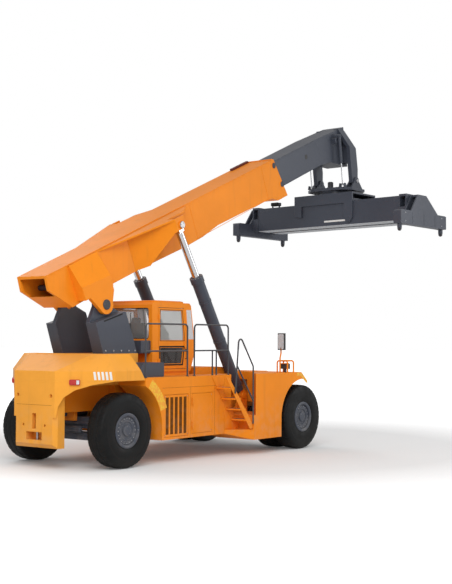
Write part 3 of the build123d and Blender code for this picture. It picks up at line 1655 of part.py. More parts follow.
for side_name, side in (("right", -1), ("left", 1)):
    beam_x = -side * beam_centre
    inner_y = side * (lock_y - end_width / 2)
    with BuildPart() as arm:
        # each arm slides in one of the two beams
        with BuildSketch(on_spreader_end(inner_y)):
            with Locations((beam_x, beam_top_z - beam_depth / 2)):
                Rectangle(arm_width, arm_depth)
                Rectangle(arm_width - 2 * arm_wall, arm_depth - 2 * arm_wall, mode=Mode.SUBTRACT)
        extrude(amount=side * arm_reach)
        # wear pads round the arm's tail
        with BuildSketch(on_spreader_end(inner_y - side * (arm_reach - 200))):
            with Locations((beam_x, beam_top_z - beam_depth / 2)):
                Rectangle(arm_width + 2 * pad_thickness, arm_depth + 2 * pad_thickness)
                Rectangle(arm_width - 2 * arm_wall, arm_depth - 2 * arm_wall, mode=Mode.SUBTRACT)
        extrude(amount=side * 200)
        # end beam across the container's width
        with BuildSketch(on_spreader_end(side * (lock_y + end_width / 2))):
            with BuildLine():
                Polyline(*end_outline, close=True)
            make_face()
        extrude(amount=side * end_width)
        # head box against the beams' ends, with a pocket in its rear face
        head_end = beam_half + head_gap
        with BuildSketch(on_spreader_end(side * (lock_y - end_width / 2 + 1))):
            with BuildLine():
                Polyline(
                    (-head_half, beam_low_z + 20), (-head_half, beam_top_z + head_rise),
                    (150, beam_top_z + head_rise), (head_half, beam_top_z),
                    (head_half, beam_low_z + 20), close=True,
                )
            make_face()
        extrude(amount=side * (lock_y - end_width / 2 + 1 - head_end))
        with BuildSketch(on_spreader_side(-head_half - 1)):
            with Locations((-side * (head_end + lock_y - end_width / 2) / 2, beam_top_z - 170)):
                Rectangle(lock_y - end_width / 2 - head_end - 60, 300)
        extrude(amount=-260, mode=Mode.SUBTRACT)
        # gusset plates sloping down to the end beam
        for y in (lock_y - end_width / 2, lock_y + end_width / 2 - 40):
            with BuildSketch(on_spreader_end(side * (y + 40))):
                with BuildLine():
                    Polyline(*gusset, close=True)
                make_face()
            extrude(amount=side * 40)
        with BuildSketch(on_spreader_end(side * (lock_y + end_width / 2 - 20))):
            with BuildLine():
                Polyline(
                    (-330, beam_top_z - 40), (-330, beam_top_z + 19), (130, beam_top_z + 19),
                    (130, beam_top_z - 40), close=True,
                )
            make_face()
        extrude(amount=side * (end_width - 40))
        # housings under the corners
        with BuildSketch(on_spreader(end_top_z - end_depth + 1)):
            with Locations((-lock_x, side * lock_y), (lock_x, side * lock_y)):
                Circle(lock_house)
        extrude(amount=lock_tip_z + 82 - end_top_z + end_depth - 1)
        # bores for the twistlocks
        for x in (-lock_x, lock_x):
            with BuildSketch(on_spreader(lock_tip_z)):
                with Locations((x, side * lock_y)):
                    Circle(lock_shank + running)
            extrude(amount=end_top_z - 60 - lock_tip_z, mode=Mode.SUBTRACT)
    finish(f"spreader_arm_{side_name}", arm)

    for end_name, x in (("rear", -lock_x), ("front", lock_x)):
        with BuildPart() as twistlock:
            with BuildSketch(on_spreader(lock_tip_z + 75)):
                with Locations((x, side * lock_y)):
                    Circle(lock_shank)
            extrude(amount=end_top_z - 70 - lock_tip_z - 75)
            for z, length, width in lock_head_sections:
                with BuildSketch(on_spreader(z)):
                    with Locations((x, side * lock_y)):
                        Rectangle(width, length)
            loft(ruled=True)
        finish(f"twistlock_{end_name}_{side_name}", twistlock)
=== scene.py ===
"""Finishes, trim and studio of a container reach stacker."""

import json
import math

import bmesh
import bpy
from bpy.props import FloatProperty, FloatVectorProperty, IntProperty, PointerProperty
from mathutils import Matrix, Vector


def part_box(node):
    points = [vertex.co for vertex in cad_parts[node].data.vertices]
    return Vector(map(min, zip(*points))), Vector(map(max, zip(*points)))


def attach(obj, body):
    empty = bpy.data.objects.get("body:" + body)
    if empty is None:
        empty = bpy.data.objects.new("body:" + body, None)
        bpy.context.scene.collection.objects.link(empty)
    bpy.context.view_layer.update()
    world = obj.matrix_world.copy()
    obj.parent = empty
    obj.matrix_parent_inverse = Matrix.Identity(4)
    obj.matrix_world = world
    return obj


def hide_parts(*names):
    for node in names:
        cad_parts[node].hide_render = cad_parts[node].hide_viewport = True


bl_info = {
    "name": "Reach Stacker",
    "version": (1, 0, 0),
    "blender": (4, 5, 0),
    "location": "3D View > Sidebar > Stacker",
    "description": "Paint, trim, tyres, cab furniture and studio of a reach stacker",
    "category": "Object",
}

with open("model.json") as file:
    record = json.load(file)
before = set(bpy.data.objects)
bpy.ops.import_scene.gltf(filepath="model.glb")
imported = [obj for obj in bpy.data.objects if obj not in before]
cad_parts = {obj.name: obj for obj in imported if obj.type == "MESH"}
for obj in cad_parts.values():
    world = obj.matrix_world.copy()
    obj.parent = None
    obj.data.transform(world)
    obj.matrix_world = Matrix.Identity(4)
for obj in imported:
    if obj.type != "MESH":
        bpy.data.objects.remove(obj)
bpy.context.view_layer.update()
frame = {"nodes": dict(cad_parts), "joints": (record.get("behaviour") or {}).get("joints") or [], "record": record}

# ---- places taken from the frame
joints = {joint["name"]: joint for joint in frame["joints"]}


def joint_place(name):
    """Where a hinge stands."""
    return Vector(joints[name]["pos_m"])


STEER = joint_place("right_steer")
BOOM_PIN = joint_place("boom_luff")
BOOM_ALONG = Vector(joints["telescope_slide"]["axis"]).normalized()
BOOM_UP = BOOM_ALONG.cross(Vector((0, 1, 0))).normalized()
HEAD_PIN = joint_place("hanger_swing")
SPREADER_ALONG = Vector(joints["side_shift"]["axis"]).normalized()
SPREADER_AHEAD = SPREADER_ALONG.cross(Vector((0, 0, 1))).normalized()
SIDES = (("right", -1), ("left", 1))


def from_axle(x, y, z):
    """A point by its distance ahead of the steer axle."""
    return Vector((STEER.x + x, y, z))


def on_flank(x, y, z, side):
    """Frame on a face that looks sideways: X ahead on the right side, Y up, Z outwards."""
    return turned_to((0, side, 0), origin=from_axle(x, side * y, z))


def seen_from(side, outline):
    """Outline of x ahead and z up, as a frame on that side has it."""
    return [(-side * x, z) for x, z in outline]


def on_boom(u, w, y):
    """A point by its distance along the boom and above the boom's pivot line."""
    return BOOM_PIN + BOOM_ALONG * u + BOOM_UP * w + Vector((0, y, 0))


def on_spreader(x, y, z):
    """A point by its place across and along the spreader, at a height."""
    place = SPREADER_AHEAD * x + SPREADER_ALONG * y
    return Vector((HEAD_PIN.x + place.x, place.y, z))


# ---- sizes and colours a user would change
def tint(name, description, default):
    """Setting for the colour of a paint."""
    return FloatVectorProperty(
        name=name, description=description, default=default, subtype="COLOR", min=0, max=1
    )


def amount(name, description, default, **limits):
    """Setting for a size, an angle or a power."""
    return FloatProperty(name=name, description=description, default=default, **limits)


class StackerPaint(bpy.types.PropertyGroup):
    """Colours of the paints and the depth of their wear"""

    body: tint("Body paint", "Orange of the chassis, cab and outer boom", (0.87, 0.262, 0.014))
    gear: tint("Gear paint", "Slate grey of the towers, inner boom and spreader", (0.056, 0.064, 0.086))
    rail: tint("Rail paint", "Dark grey of the handrails", (0.055, 0.058, 0.066))
    rubber: tint("Rubber", "Near-black of the tyres", (0.006, 0.0065, 0.007))
    wear_width: amount(
        "Wear width", "Width of the rubbed band along an edge", 0.012, min=0.001, max=0.1, unit="LENGTH"
    )


class StackerStudio(bpy.types.PropertyGroup):
    """Camera and studio light"""

    lens: amount("Lens", "Focal length of the camera", 66.97, min=10, max=300, unit="CAMERA")
    yaw: amount(
        "Yaw", "Heading of the camera from the machine's forward direction",
        math.radians(37.43), unit="ROTATION",
    )
    pitch: amount("Pitch", "Upward tilt of the camera", math.radians(2.47), unit="ROTATION")
    roll: amount("Roll", "Lean of the camera", 0.0038, unit="ROTATION")
    place: FloatVectorProperty(
        name="Place", description="Camera behind, beside and above the steer axle's ground point",
        default=(-17.205, -17.335, 2.774), subtype="TRANSLATION", unit="LENGTH",
    )
    key: amount("Key light", "Power of the large key panel", 1850.0, min=0, unit="POWER")
    fill: amount("Fill light", "Power of the fill panel", 820.0, min=0, unit="POWER")
    sky: amount("Sky", "Strength of the even light from all round", 0.62, min=0, max=2)


class StackerTyres(bpy.types.PropertyGroup):
    """Tread of the tyres"""

    bars: IntProperty(name="Bars", description="Tread bars round a tyre", default=36, min=8, max=90)
    groove: amount("Groove", "Depth of the tread", 0.008, min=0.002, max=0.06, unit="LENGTH")


# ---- material workshop
class Wiring:
    """Adds and joins the nodes of one material."""

    def __init__(self, name):
        self.material = bpy.data.materials.new(name)
        self.material.use_nodes = True
        self.tree = self.material.node_tree
        self.shader = self.tree.nodes["Principled BSDF"]
        self.place = self.add("ShaderNodeTexCoord").outputs["Object"]

    def add(self, kind, settings=None, **sockets):
        node = self.tree.nodes.new(kind)
        for name, value in (settings or {}).items():
            setattr(node, name, value)
        for name, value in sockets.items():
            self.put(node.inputs[name.replace("_", " ")], value)
        return node

    def put(self, socket, value):
        if isinstance(value, bpy.types.NodeSocket):
            self.tree.links.new(value, socket)
        elif hasattr(value, "__len__") and len(value) == 3 and socket.type == "RGBA":
            socket.default_value = (*value, 1)
        else:
            socket.default_value = value

    def set(self, **sockets):
        for name, value in sockets.items():
            self.put(self.shader.inputs[name.replace("_", " ")], value)

    def noise(self, scale, detail=4.0, stretch=None, roughness=0.55):
        """Noise from 0 to 1 by place on the machine, drawn out along an axis where stretched."""
        where = self.place
        if stretch:
            where = self.add("ShaderNodeMapping", Vector=where, Scale=stretch).outputs[0]
        return self.add(
            "ShaderNodeTexNoise", Vector=where, Scale=scale, Detail=detail, Roughness=roughness
        ).outputs["Fac"]

    def ramp(self, value, low, high, at_low=0.0, at_high=1.0):
        """Value remapped from low..high to at_low..at_high, held at both ends."""
        node = self.add("ShaderNodeMapRange", Value=value)
        for name, number in zip(("From Min", "From Max", "To Min", "To Max"), (low, high, at_low, at_high)):
            node.inputs[name].default_value = number
        return node.outputs[0]

    def maths(self, operation, a, b):
        node = self.add("ShaderNodeMath", {"operation": operation, "use_clamp": True})
        self.put(node.inputs[0], a)
        self.put(node.inputs[1], b)
        return node.outputs[0]

    def times(self, a, b):
        return self.maths("MULTIPLY", a, b)

    def blend(self, share, a, b):
        """Colour a with b over it by share."""
        node = self.add("ShaderNodeMix", {"data_type": "RGBA"})
        self.put(node.inputs[0], share)
        self.put(node.inputs[6], a)
        self.put(node.inputs[7], b)
        return node.outputs[2]

    def rounded(self, radius):
        """Normal that runs softly over sharp edges."""
        return self.add("ShaderNodeBevel", {"samples": 6}, Radius=radius).outputs[0]

    def edges(self, radius):
        """1 along sharp edges, 0 on the flat."""
        geometry = self.add("ShaderNodeNewGeometry")
        turn = self.add("ShaderNodeVectorMath", {"operation": "DOT_PRODUCT"})
        self.put(turn.inputs[0], self.rounded(radius))
        self.put(turn.inputs[1], geometry.outputs["Normal"])
        return self.ramp(turn.outputs["Value"], 0.995, 0.86)

    def facing_up(self):
        """1 where the surface looks up, 0 where it stands or looks down."""
        normal = self.add("ShaderNodeNewGeometry").outputs["Normal"]
        parts = self.add("ShaderNodeSeparateXYZ", Vector=normal)
        return self.ramp(parts.outputs["Z"], 0.35, 0.95)

    def height(self):
        return self.add("ShaderNodeSeparateXYZ", Vector=self.place).outputs["Z"]

    def bump(self, value, strength, distance, normal=None):
        node = self.add("ShaderNodeBump", Height=value, Strength=strength, Distance=distance)
        if normal:
            self.put(node.inputs["Normal"], normal)
        self.put(self.shader.inputs["Normal"], node.outputs[0])


def shade(colour, factor):
    """A colour made lighter or darker."""
    return tuple(min(1.0, c * factor) for c in colour)


def toward(colour, other, share):
    """A colour moved some of the way to another."""
    return tuple(a + (b - a) * share for a, b in zip(colour, other))


DUST = (0.5, 0.44, 0.36)
GRIME = (0.05, 0.045, 0.04)


def paint(name, colour, wear_width, roughness=0.4, dust=0.12, worn=None, sheen=0.3):
    """Machine enamel: lighter on top, partly dust and partly painted light from above, streaked and splashed low
    down, rubbed along its edges.
    """
    w = Wiring(name)
    patchy = w.ramp(w.noise(0.9, 5), 0.3, 0.7)
    base = w.blend(patchy, shade(colour, 0.93), shade(colour, 1.05))
    # faces that look up go lighter by the share given as dust: partly dust, partly painted light from above
    top_dust_and_light = w.times(w.facing_up(), w.ramp(w.noise(2.2, 6), 0.32, 0.68, 0.35, 1.0))
    dusted_and_lit_top = w.blend(w.times(top_dust_and_light, dust), base, toward(colour, DUST, 0.7))
    runs = w.ramp(w.noise(3.0, 5, stretch=(2.4, 2.4, 0.22)), 0.56, 0.8)
    streaked = w.blend(w.times(runs, 0.22), dusted_and_lit_top, toward(colour, GRIME, 0.55))
    splash = w.times(w.ramp(w.height(), 1.5, 0.3), w.ramp(w.noise(5.0, 8), 0.42, 0.66))
    splashed = w.blend(w.times(splash, 0.4), streaked, toward(colour, DUST, 0.45))
    rubbed = w.times(w.edges(wear_width), w.ramp(w.noise(9.0, 8), 0.42, 0.62))
    final = w.blend(w.times(rubbed, 0.6), splashed, worn or shade(colour, 1.35))
    w.set(Base_Color=final, Specular_IOR_Level=sheen, Coat_Weight=sheen * 0.2, Coat_Roughness=0.25)
    dull = w.maths("ADD", w.noise(14.0, 6), top_dust_and_light)
    w.set(Roughness=w.ramp(dull, 0.3, 1.5, roughness - 0.06, roughness + 0.26))
    w.bump(w.noise(120.0, 3), 0.06, 0.0015, w.rounded(wear_width * 0.8))
    return w.material


def rubber(name, colour):
    """Tyre rubber, greyed by dust where it scuffs."""
    w = Wiring(name)
    scuffs = w.ramp(w.noise(6.0, 8), 0.38, 0.68)
    base = w.blend(w.times(scuffs, 0.3), colour, toward(colour, DUST, 0.04))
    low = w.ramp(w.height(), 0.3, 0.0)
    w.set(Base_Color=w.blend(w.times(low, 0.3), base, toward(colour, DUST, 0.08)))
    w.set(Roughness=w.ramp(scuffs, 0.0, 1.0, 0.42, 0.72), Specular_IOR_Level=0.16)
    w.bump(w.maths("ADD", w.noise(60.0, 6), w.noise(320.0, 2)), 0.16, 0.002, w.rounded(0.006))
    return w.material


def mottled(name, colour, other):
    """Reflective tape broken up in a honeycomb over the paint."""
    w = Wiring(name)
    cells = w.add("ShaderNodeTexVoronoi", Vector=w.place, Scale=22.0).outputs["Distance"]
    w.set(Base_Color=w.blend(w.ramp(cells, 0.25, 0.6), colour, toward(colour, other, 0.7)))
    w.set(Roughness=w.ramp(cells, 0.2, 0.6, 0.28, 0.45))
    w.bump(cells, 0.1, 0.0008)
    return w.material


def metal(name, colour, roughness, grain=(1, 1, 1), oil=0.25):
    """Bare or chromed steel with a film of oil and fine turning marks."""
    w = Wiring(name)
    film = w.ramp(w.noise(7.0, 6), 0.4, 0.7)
    w.set(Base_Color=w.blend(w.times(film, oil), colour, shade(colour, 0.6)), Metallic=1.0)
    marks = w.noise(160.0, 4, stretch=grain)
    w.set(Roughness=w.ramp(marks, 0.3, 0.7, roughness * 0.7, roughness * 1.5))
    w.bump(w.noise(240.0, 3, stretch=grain), 0.05, 0.0006, w.rounded(0.004))
    return w.material


def plastic(name, colour, roughness=0.5, grain=260.0):
    """Moulded plastic with a leather-like grain."""
    w = Wiring(name)
    marks = w.ramp(w.noise(11.0, 7), 0.4, 0.72)
    w.set(Base_Color=w.blend(w.times(marks, 0.35), colour, toward(colour, DUST, 0.12)))
    w.set(Roughness=w.ramp(marks, 0.0, 1.0, roughness * 0.85, min(1.0, roughness * 1.3)))
    cells = w.add("ShaderNodeTexVoronoi", Vector=w.place, Scale=grain).outputs["Distance"]
    w.bump(cells, 0.14, 0.0008, w.rounded(0.003))
    return w.material


def glass(name, colour, alpha):
    """Cab glass with a light tint and a patchy film of dust."""
    w = Wiring(name)
    film = w.ramp(w.noise(1.6, 4), 0.3, 0.8)
    w.set(Base_Color=w.blend(film, colour, toward(colour, DUST, 0.06)))
    w.set(Alpha=w.ramp(film, 0.0, 1.0, alpha, min(1.0, alpha + 0.04)))
    w.set(Roughness=w.ramp(film, 0.0, 1.0, 0.03, 0.12), Specular_IOR_Level=0.7)
    return w.material


def lens(name, colour):
    """Ribbed lamp lens."""
    w = Wiring(name)
    ribs = w.add("ShaderNodeTexWave", {"bands_direction": "Z"}, Vector=w.place, Scale=45.0)
    w.set(Base_Color=w.blend(w.ramp(w.noise(18.0, 5), 0.3, 0.7), shade(colour, 0.85), colour))
    w.set(Roughness=0.18, Coat_Weight=0.6, Coat_Roughness=0.08)
    w.bump(ribs.outputs["Fac"], 0.25, 0.002)
    return w.material


def cloth(name, colour):
    """Woven seat cloth, warp and weft as two crossed bands."""
    w = Wiring(name)
    warp, weft = (
        w.add("ShaderNodeTexWave", {"bands_direction": way}, Vector=w.place, Scale=240.0, Distortion=0.6)
        for way in "XY"
    )
    weave = w.times(warp.outputs["Fac"], weft.outputs["Fac"])
    faded = w.ramp(w.noise(9.0, 6), 0.35, 0.7)
    w.set(Base_Color=w.blend(w.times(faded, 0.5), colour, toward(colour, DUST, 0.18)))
    w.set(Roughness=w.ramp(weave, 0.0, 1.0, 0.75, 0.95), Sheen_Weight=0.3)
    w.bump(weave, 0.35, 0.0012)
    return w.material


# ---- mesh workshop
def turned_to(along, up=(0, 0, 1), origin=(0, 0, 0)):
    """Frame whose Z runs along a direction and whose Y leans towards another."""
    z = Vector(along).normalized()
    x = Vector(up).cross(z)
    if x.length < 1e-6:
        x = Vector((1, 0, 0)).cross(z)
        if x.length < 1e-6:
            x = Vector((0, 1, 0)).cross(z)
    x.normalize()
    y = z.cross(x)
    turn = Matrix((x, y, z)).transposed().to_4x4()
    turn.translation = Vector(origin)
    return turn


def moved(x, y, z):
    """Step from a frame to a place in it."""
    return Matrix.Translation((x, y, z))


def round_z(radius, angle, height=0.0):
    """A point by its place round the Z axis."""
    return Vector((radius * math.cos(angle), radius * math.sin(angle), height))


class Shape:
    """A mesh that grows solid by solid and ends as one piece riding on a body."""

    def __init__(self):
        self.mesh = bmesh.new()

    def loft(self, rings, closed=True):
        """Skin over rings of equal length, with flat ends where closed."""
        rows = [[self.mesh.verts.new(p) for p in ring] for ring in rings]
        count = len(rows[0])
        for low, high in zip(rows, rows[1:]):
            for i in range(count):
                j = (i + 1) % count
                self.mesh.faces.new((low[i], low[j], high[j], high[i]))
        if closed:
            self.mesh.faces.new(list(reversed(rows[0])))
            self.mesh.faces.new(rows[-1])
        return self

    def prism(self, place, outline, depth):
        """Outline in the frame's XY, pushed out along its Z."""
        return self.loft([[place @ Vector((x, y, z)) for x, y in outline] for z in (0, depth)])

    def block(self, place, length, width, height, chamfer=0.0):
        """Block centred on the frame in X and Y, standing on its XY plane."""
        a, b, c = length / 2, width / 2, min(chamfer, length / 3, width / 3)
        if c:
            outline = [
                (-a + c, -b), (a - c, -b), (a, -b + c), (a, b - c),
                (a - c, b), (-a + c, b), (-a, b - c), (-a, -b + c),
            ]
        else:
            outline = [(-a, -b), (a, -b), (a, b), (-a, b)]
        return self.prism(place, outline, height)

    def turned(self, place, profile, sides=24):
        """Profile of (radius, height) turned about the frame's Z, with flat ends."""
        return self.loft([
            [place @ round_z(max(radius, 1e-4), 2 * math.pi * i / sides, height) for i in range(sides)]
            for radius, height in profile
        ])

    def hoop(self, rings):
        """Skin over rings of equal length, the last joined to the first, such as a tyre or a seal."""
        rows = [[self.mesh.verts.new(p) for p in ring] for ring in rings]
        count = len(rows[0])
        for here, there in zip(rows, rows[1:] + rows[:1]):
            for k in range(count):
                n = (k + 1) % count
                self.mesh.faces.new((here[k], there[k], there[n], here[n]))

    def ring(self, place, profile, sides=48):
        """Closed profile of (radius, height) turned about the frame's Z."""
        turns = (2 * math.pi * i / sides for i in range(sides))
        self.hoop([[place @ round_z(r, turn, h) for r, h in profile] for turn in turns])

    def bolt(self, place, size, height=None):
        """Hexagon head on a washer."""
        height = height or size * 0.62
        self.turned(place, [(size * 1.12, 0), (size * 1.12, size * 0.14)], 20)
        up = place @ moved(0, 0, size * 0.14)
        self.turned(up, [(size * 0.95, 0), (size * 0.95, height * 0.85), (size * 0.855, height)], 6)

    def bolt_circle(self, place, count, radius, height, size, start=0.0):
        """Bolts evenly round the frame's Z."""
        for i in range(count):
            turn = Matrix.Rotation(2 * math.pi * i / count + start, 4, "Z")
            self.bolt(place @ turn @ moved(radius, 0, height), size)

    def pipe(self, points, radius, sides=12, corner=3.0):
        """Round pipe along points, with bends of corner times its radius."""
        path = smooth_path([Vector(p) for p in points], radius * corner)
        rings, across = [], None
        for i, point in enumerate(path):
            ahead = path[min(i + 1, len(path) - 1)] - path[max(i - 1, 0)]
            ahead.normalize()
            if across is None:
                across = ahead.orthogonal().normalized()
            across = (across - ahead * across.dot(ahead)).normalized()
            other = ahead.cross(across)
            spots = (round_z(radius, 2 * math.pi * k / sides) for k in range(sides))
            rings.append([point + across * spot.x + other * spot.y for spot in spots])
        self.loft(rings)

    def piece(self, name, finish, body="chassis", slot=None, bevel=0.0, smooth=True):
        """Turns what has been built into an object that rides on a body."""
        bmesh.ops.recalc_face_normals(self.mesh, faces=self.mesh.faces)
        data = bpy.data.meshes.new(name)
        self.mesh.to_mesh(data)
        self.mesh.free()
        made = bpy.data.objects.new(name, data)
        bpy.context.scene.collection.objects.link(made)
        data.materials.append(finishes[finish])
        if smooth:
            data.shade_smooth()
            data.set_sharp_from_angle(angle=math.radians(32))
        if bevel:
            modifier = made.modifiers.new("soft edges", "BEVEL")
            modifier.width = bevel
            modifier.segments = 2
            modifier.limit_method = "ANGLE"
            modifier.angle_limit = math.radians(40)
            modifier.harden_normals = True
        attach(made, body)
        return made


def smooth_path(points, radius):
    """Points with an arc of that radius, or what room there is, at each corner."""
    path = [points[0]]
    for before, corner, after in zip(points, points[1:], points[2:]):
        a, b = (before - corner), (after - corner)
        room = min(a.length, b.length) * 0.45
        a.normalize()
        b.normalize()
        turn = math.pi - a.angle(b)
        if turn < 0.02:
            path.append(corner)
            continue
        reach = min(room, radius * math.tan(turn / 2))
        steps = max(2, int(turn / 0.25))
        start, end = corner + a * reach, corner + b * reach
        for i in range(steps + 1):
            t = i / steps
            path.append(start * (1 - t) ** 2 + corner * (2 * t * (1 - t)) + end * t**2)
    path.append(points[-1])
    return path


# ---- studio
FLOOR_HALF = 200.0
GLOW_REACH = (6.0, 14.0)  # distances between which the floor's own light grows
FLOOR_GLOW = (0.06, 0.7)  # light given off by the floor near the machine and far away


class STACKER_OT_studio(bpy.types.Operator):
    """Makes the floor, the light and the camera"""

    bl_idname = "stacker.studio"
    bl_label = "Studio"

    def execute(self, context):
        studio = context.scene.stacker_studio
        context.scene.view_settings.view_transform = "Standard"
        self.floor()
        self.sky(context, studio)
        self.panels(studio)
        self.camera(context, studio)
        return {"FINISHED"}

    def floor(self):
        data = bpy.data.meshes.new("floor")
        corners = [(x * FLOOR_HALF, y * FLOOR_HALF, 0) for x, y in ((-1, -1), (1, -1), (1, 1), (-1, 1))]
        data.from_pydata(corners, [], [(0, 1, 2, 3)])
        floor = bpy.data.objects.new("floor", data)
        bpy.context.scene.collection.objects.link(floor)
        w = Wiring("pale floor")
        rays = w.add("ShaderNodeLightPath").outputs
        w.set(Base_Color=w.blend(w.noise(0.4, 4), (0.78,) * 3, (0.81,) * 3))
        w.set(Roughness=0.9, Specular_IOR_Level=0.0)
        w.put(w.shader.inputs["Emission Color"], (1, 1, 1))
        seen = w.maths("MAXIMUM", rays["Is Camera Ray"], rays["Is Transmission Ray"])
        away = w.add("ShaderNodeVectorMath", {"operation": "LENGTH"})
        w.put(away.inputs[0], w.place)
        glow = w.ramp(away.outputs["Value"], *GLOW_REACH, *FLOOR_GLOW)
        w.set(Emission_Strength=w.times(seen, glow))
        data.materials.append(w.material)

    def sky(self, context, studio):
        world = bpy.data.worlds.new("studio sky")
        context.scene.world = world
        world.use_nodes = True
        nodes, links = world.node_tree.nodes, world.node_tree.links
        nodes.clear()
        rays, lit, white, seen, mixed, out = (nodes.new(f"ShaderNode{kind}") for kind in (
            "LightPath", "Background", "Background", "Math", "MixShader", "OutputWorld",
        ))
        for shader in (lit, white):
            shader.inputs["Color"].default_value = (1, 1, 1, 1)
        lit.inputs["Strength"].default_value = studio.sky
        seen.operation = "MAXIMUM"
        for start, end in (
            (rays.outputs["Is Camera Ray"], seen.inputs[0]),
            (rays.outputs["Is Transmission Ray"], seen.inputs[1]),
            (seen.outputs[0], mixed.inputs[0]),
            (lit.outputs[0], mixed.inputs[1]),
            (white.outputs[0], mixed.inputs[2]),
            (mixed.outputs[0], out.inputs[0]),
        ):
            links.new(start, end)

    def panels(self, studio):
        middle = Vector((0, 0, 3))
        for name, place, size, power in (
            ("key panel", (-17, -11, 13), 11.0, studio.key),
            ("fill panel", (14, -16, 9), 10.0, studio.fill),
            ("rim panel", (4, 18, 14), 10.0, studio.fill),
        ):
            light = bpy.data.lights.new(name, "AREA")
            light.shape = "SQUARE"
            light.size = size
            light.energy = power
            lamp = bpy.data.objects.new(name, light)
            lamp.location = place
            lamp.rotation_euler = (middle - Vector(place)).to_track_quat("-Z", "Y").to_euler()
            bpy.context.scene.collection.objects.link(lamp)

    def camera(self, context, studio):
        data = bpy.data.cameras.new("camera")
        data.lens = studio.lens
        camera = bpy.data.objects.new("camera", data)
        ahead = Vector((
            math.cos(studio.pitch) * math.cos(studio.yaw),
            math.cos(studio.pitch) * math.sin(studio.yaw),
            math.sin(studio.pitch),
        ))
        level = Vector((math.sin(studio.yaw), -math.cos(studio.yaw), 0))
        upright = level.cross(ahead)
        right = level * math.cos(studio.roll) + upright * math.sin(studio.roll)
        up = upright * math.cos(studio.roll) - level * math.sin(studio.roll)
        place = Matrix((right, up, -ahead)).transposed().to_4x4()
        place.translation = Vector(studio.place) + Vector((STEER.x, 0, 0))
        camera.matrix_world = place
        context.scene.collection.objects.link(camera)
        context.scene.camera = camera


finishes = {}  # every material by name; a CAD node takes the one named like its slot in the record


def make_finishes(settings):
    """Makes every material once."""
    wide = settings.wear_width
    body, gear = tuple(settings.body), tuple(settings.gear)
    finishes.update({
        "orange_paint": paint("orange enamel", body, wide, sheen=0.1),
        "grey_paint": paint("slate enamel", gear, wide, roughness=0.42, dust=0.12, worn=(0.2, 0.21, 0.24)),
        "dark_rail_paint": paint("rail enamel", tuple(settings.rail), 0.004, roughness=0.4, dust=0.2),
        "tyre_rubber": rubber("tyre rubber", tuple(settings.rubber)),
        "chromed_rod": metal("chromed rod", (0.74, 0.75, 0.77), 0.12, oil=0.15),
        "cast_grey": paint(
            "cast steel", (0.05, 0.052, 0.06), 0.008, roughness=0.55, dust=0.2, worn=(0.3, 0.3, 0.3)
        ),
        "cab_glass_tint": glass("cab glass", (0.75, 0.77, 0.76), 0.1),
        # the door glass's grey, half-opaque colour is a painted reflection of the bright surroundings
        "door_glass": glass("door glass", (0.42, 0.44, 0.43), 0.5),
        "dark_lower_glass": glass("dark lower glass", (0.03, 0.03, 0.032), 0.72),
        # a lighter, yellower copy of the body orange for the rear: painted light on the faces that look back
        "rear_lit_orange": paint("orange enamel painted lit", toward(body, (0.9, 0.62, 0.12), 0.3), wide, sheen=0.1),
        # painted shade: the dark sheet behind the louvre blades
        "vent_shade_back": paint("painted vent shade", (0.1, 0.036, 0.005), 0.002, roughness=0.7, sheen=0.05),
        "black_plastic": plastic("black plastic", (0.014, 0.014, 0.015)),
        "seat_fabric": cloth("seat cloth", (0.018, 0.018, 0.02)),
        "lamp_lens": lens("red lens", (0.55, 0.02, 0.015)),
        "engine_block": paint("engine enamel", (0.16, 0.165, 0.17), 0.01, roughness=0.6, dust=0.5),
        "white_mark": paint("white marking", (0.82, 0.82, 0.8), 0.002, roughness=0.35, dust=0.15),
        "yellow_mark": mottled("yellow reflector", (0.85, 0.55, 0.02), body),
        "steel": metal("plated steel", (0.42, 0.42, 0.43), 0.35),
        "seal": rubber("black seal", (0.012, 0.012, 0.012)),
        "clear_lens": lens("clear lens", (0.75, 0.77, 0.78)),
        "mirror": lens("mirror glass", (0.6, 0.61, 0.63)),
        "dark_red": paint("dark red enamel", (0.12, 0.02, 0.015), 0.006, roughness=0.45),
        # pale grey as painted light, on the cab's inside and on the spreader's bottom flanges
        "pale_painted_light": paint("pale grey painted light", (0.42, 0.44, 0.47), 0.006, roughness=0.4, dust=0.2),
        # dark brown for the panel joints, and painted shade on the louvre blades
        "joint_and_vent_shade": paint("dark joints and painted vent shade", (0.28, 0.09, 0.007), 0.002, roughness=0.6, sheen=0.1),
    })


OWN_FINISH = {  # nodes whose look differs from the rest of their slot
    # the counterweight and the rear body take the lit copy of the orange: painted light
    "counterweight": "rear_lit_orange", "rear_body": "rear_lit_orange",
    "door_glass_right": "door_glass", "door_glass_left": "door_glass",
}


WORK_LAMPS_FROM = 4.0  # ahead of the steer axle
MIRRORS_FROM = 2.49  # height over which the fender fittings are housings
DOOR_BAR = 2.65  # height between a door's two panes
# inside these bounds the cab's faces are painted pale: painted light
PAINTED_LIGHT_INSIDE = (0.05, 0.725, 2.03, 3.566)  # cab's rear wall, half width, floor and roof inside


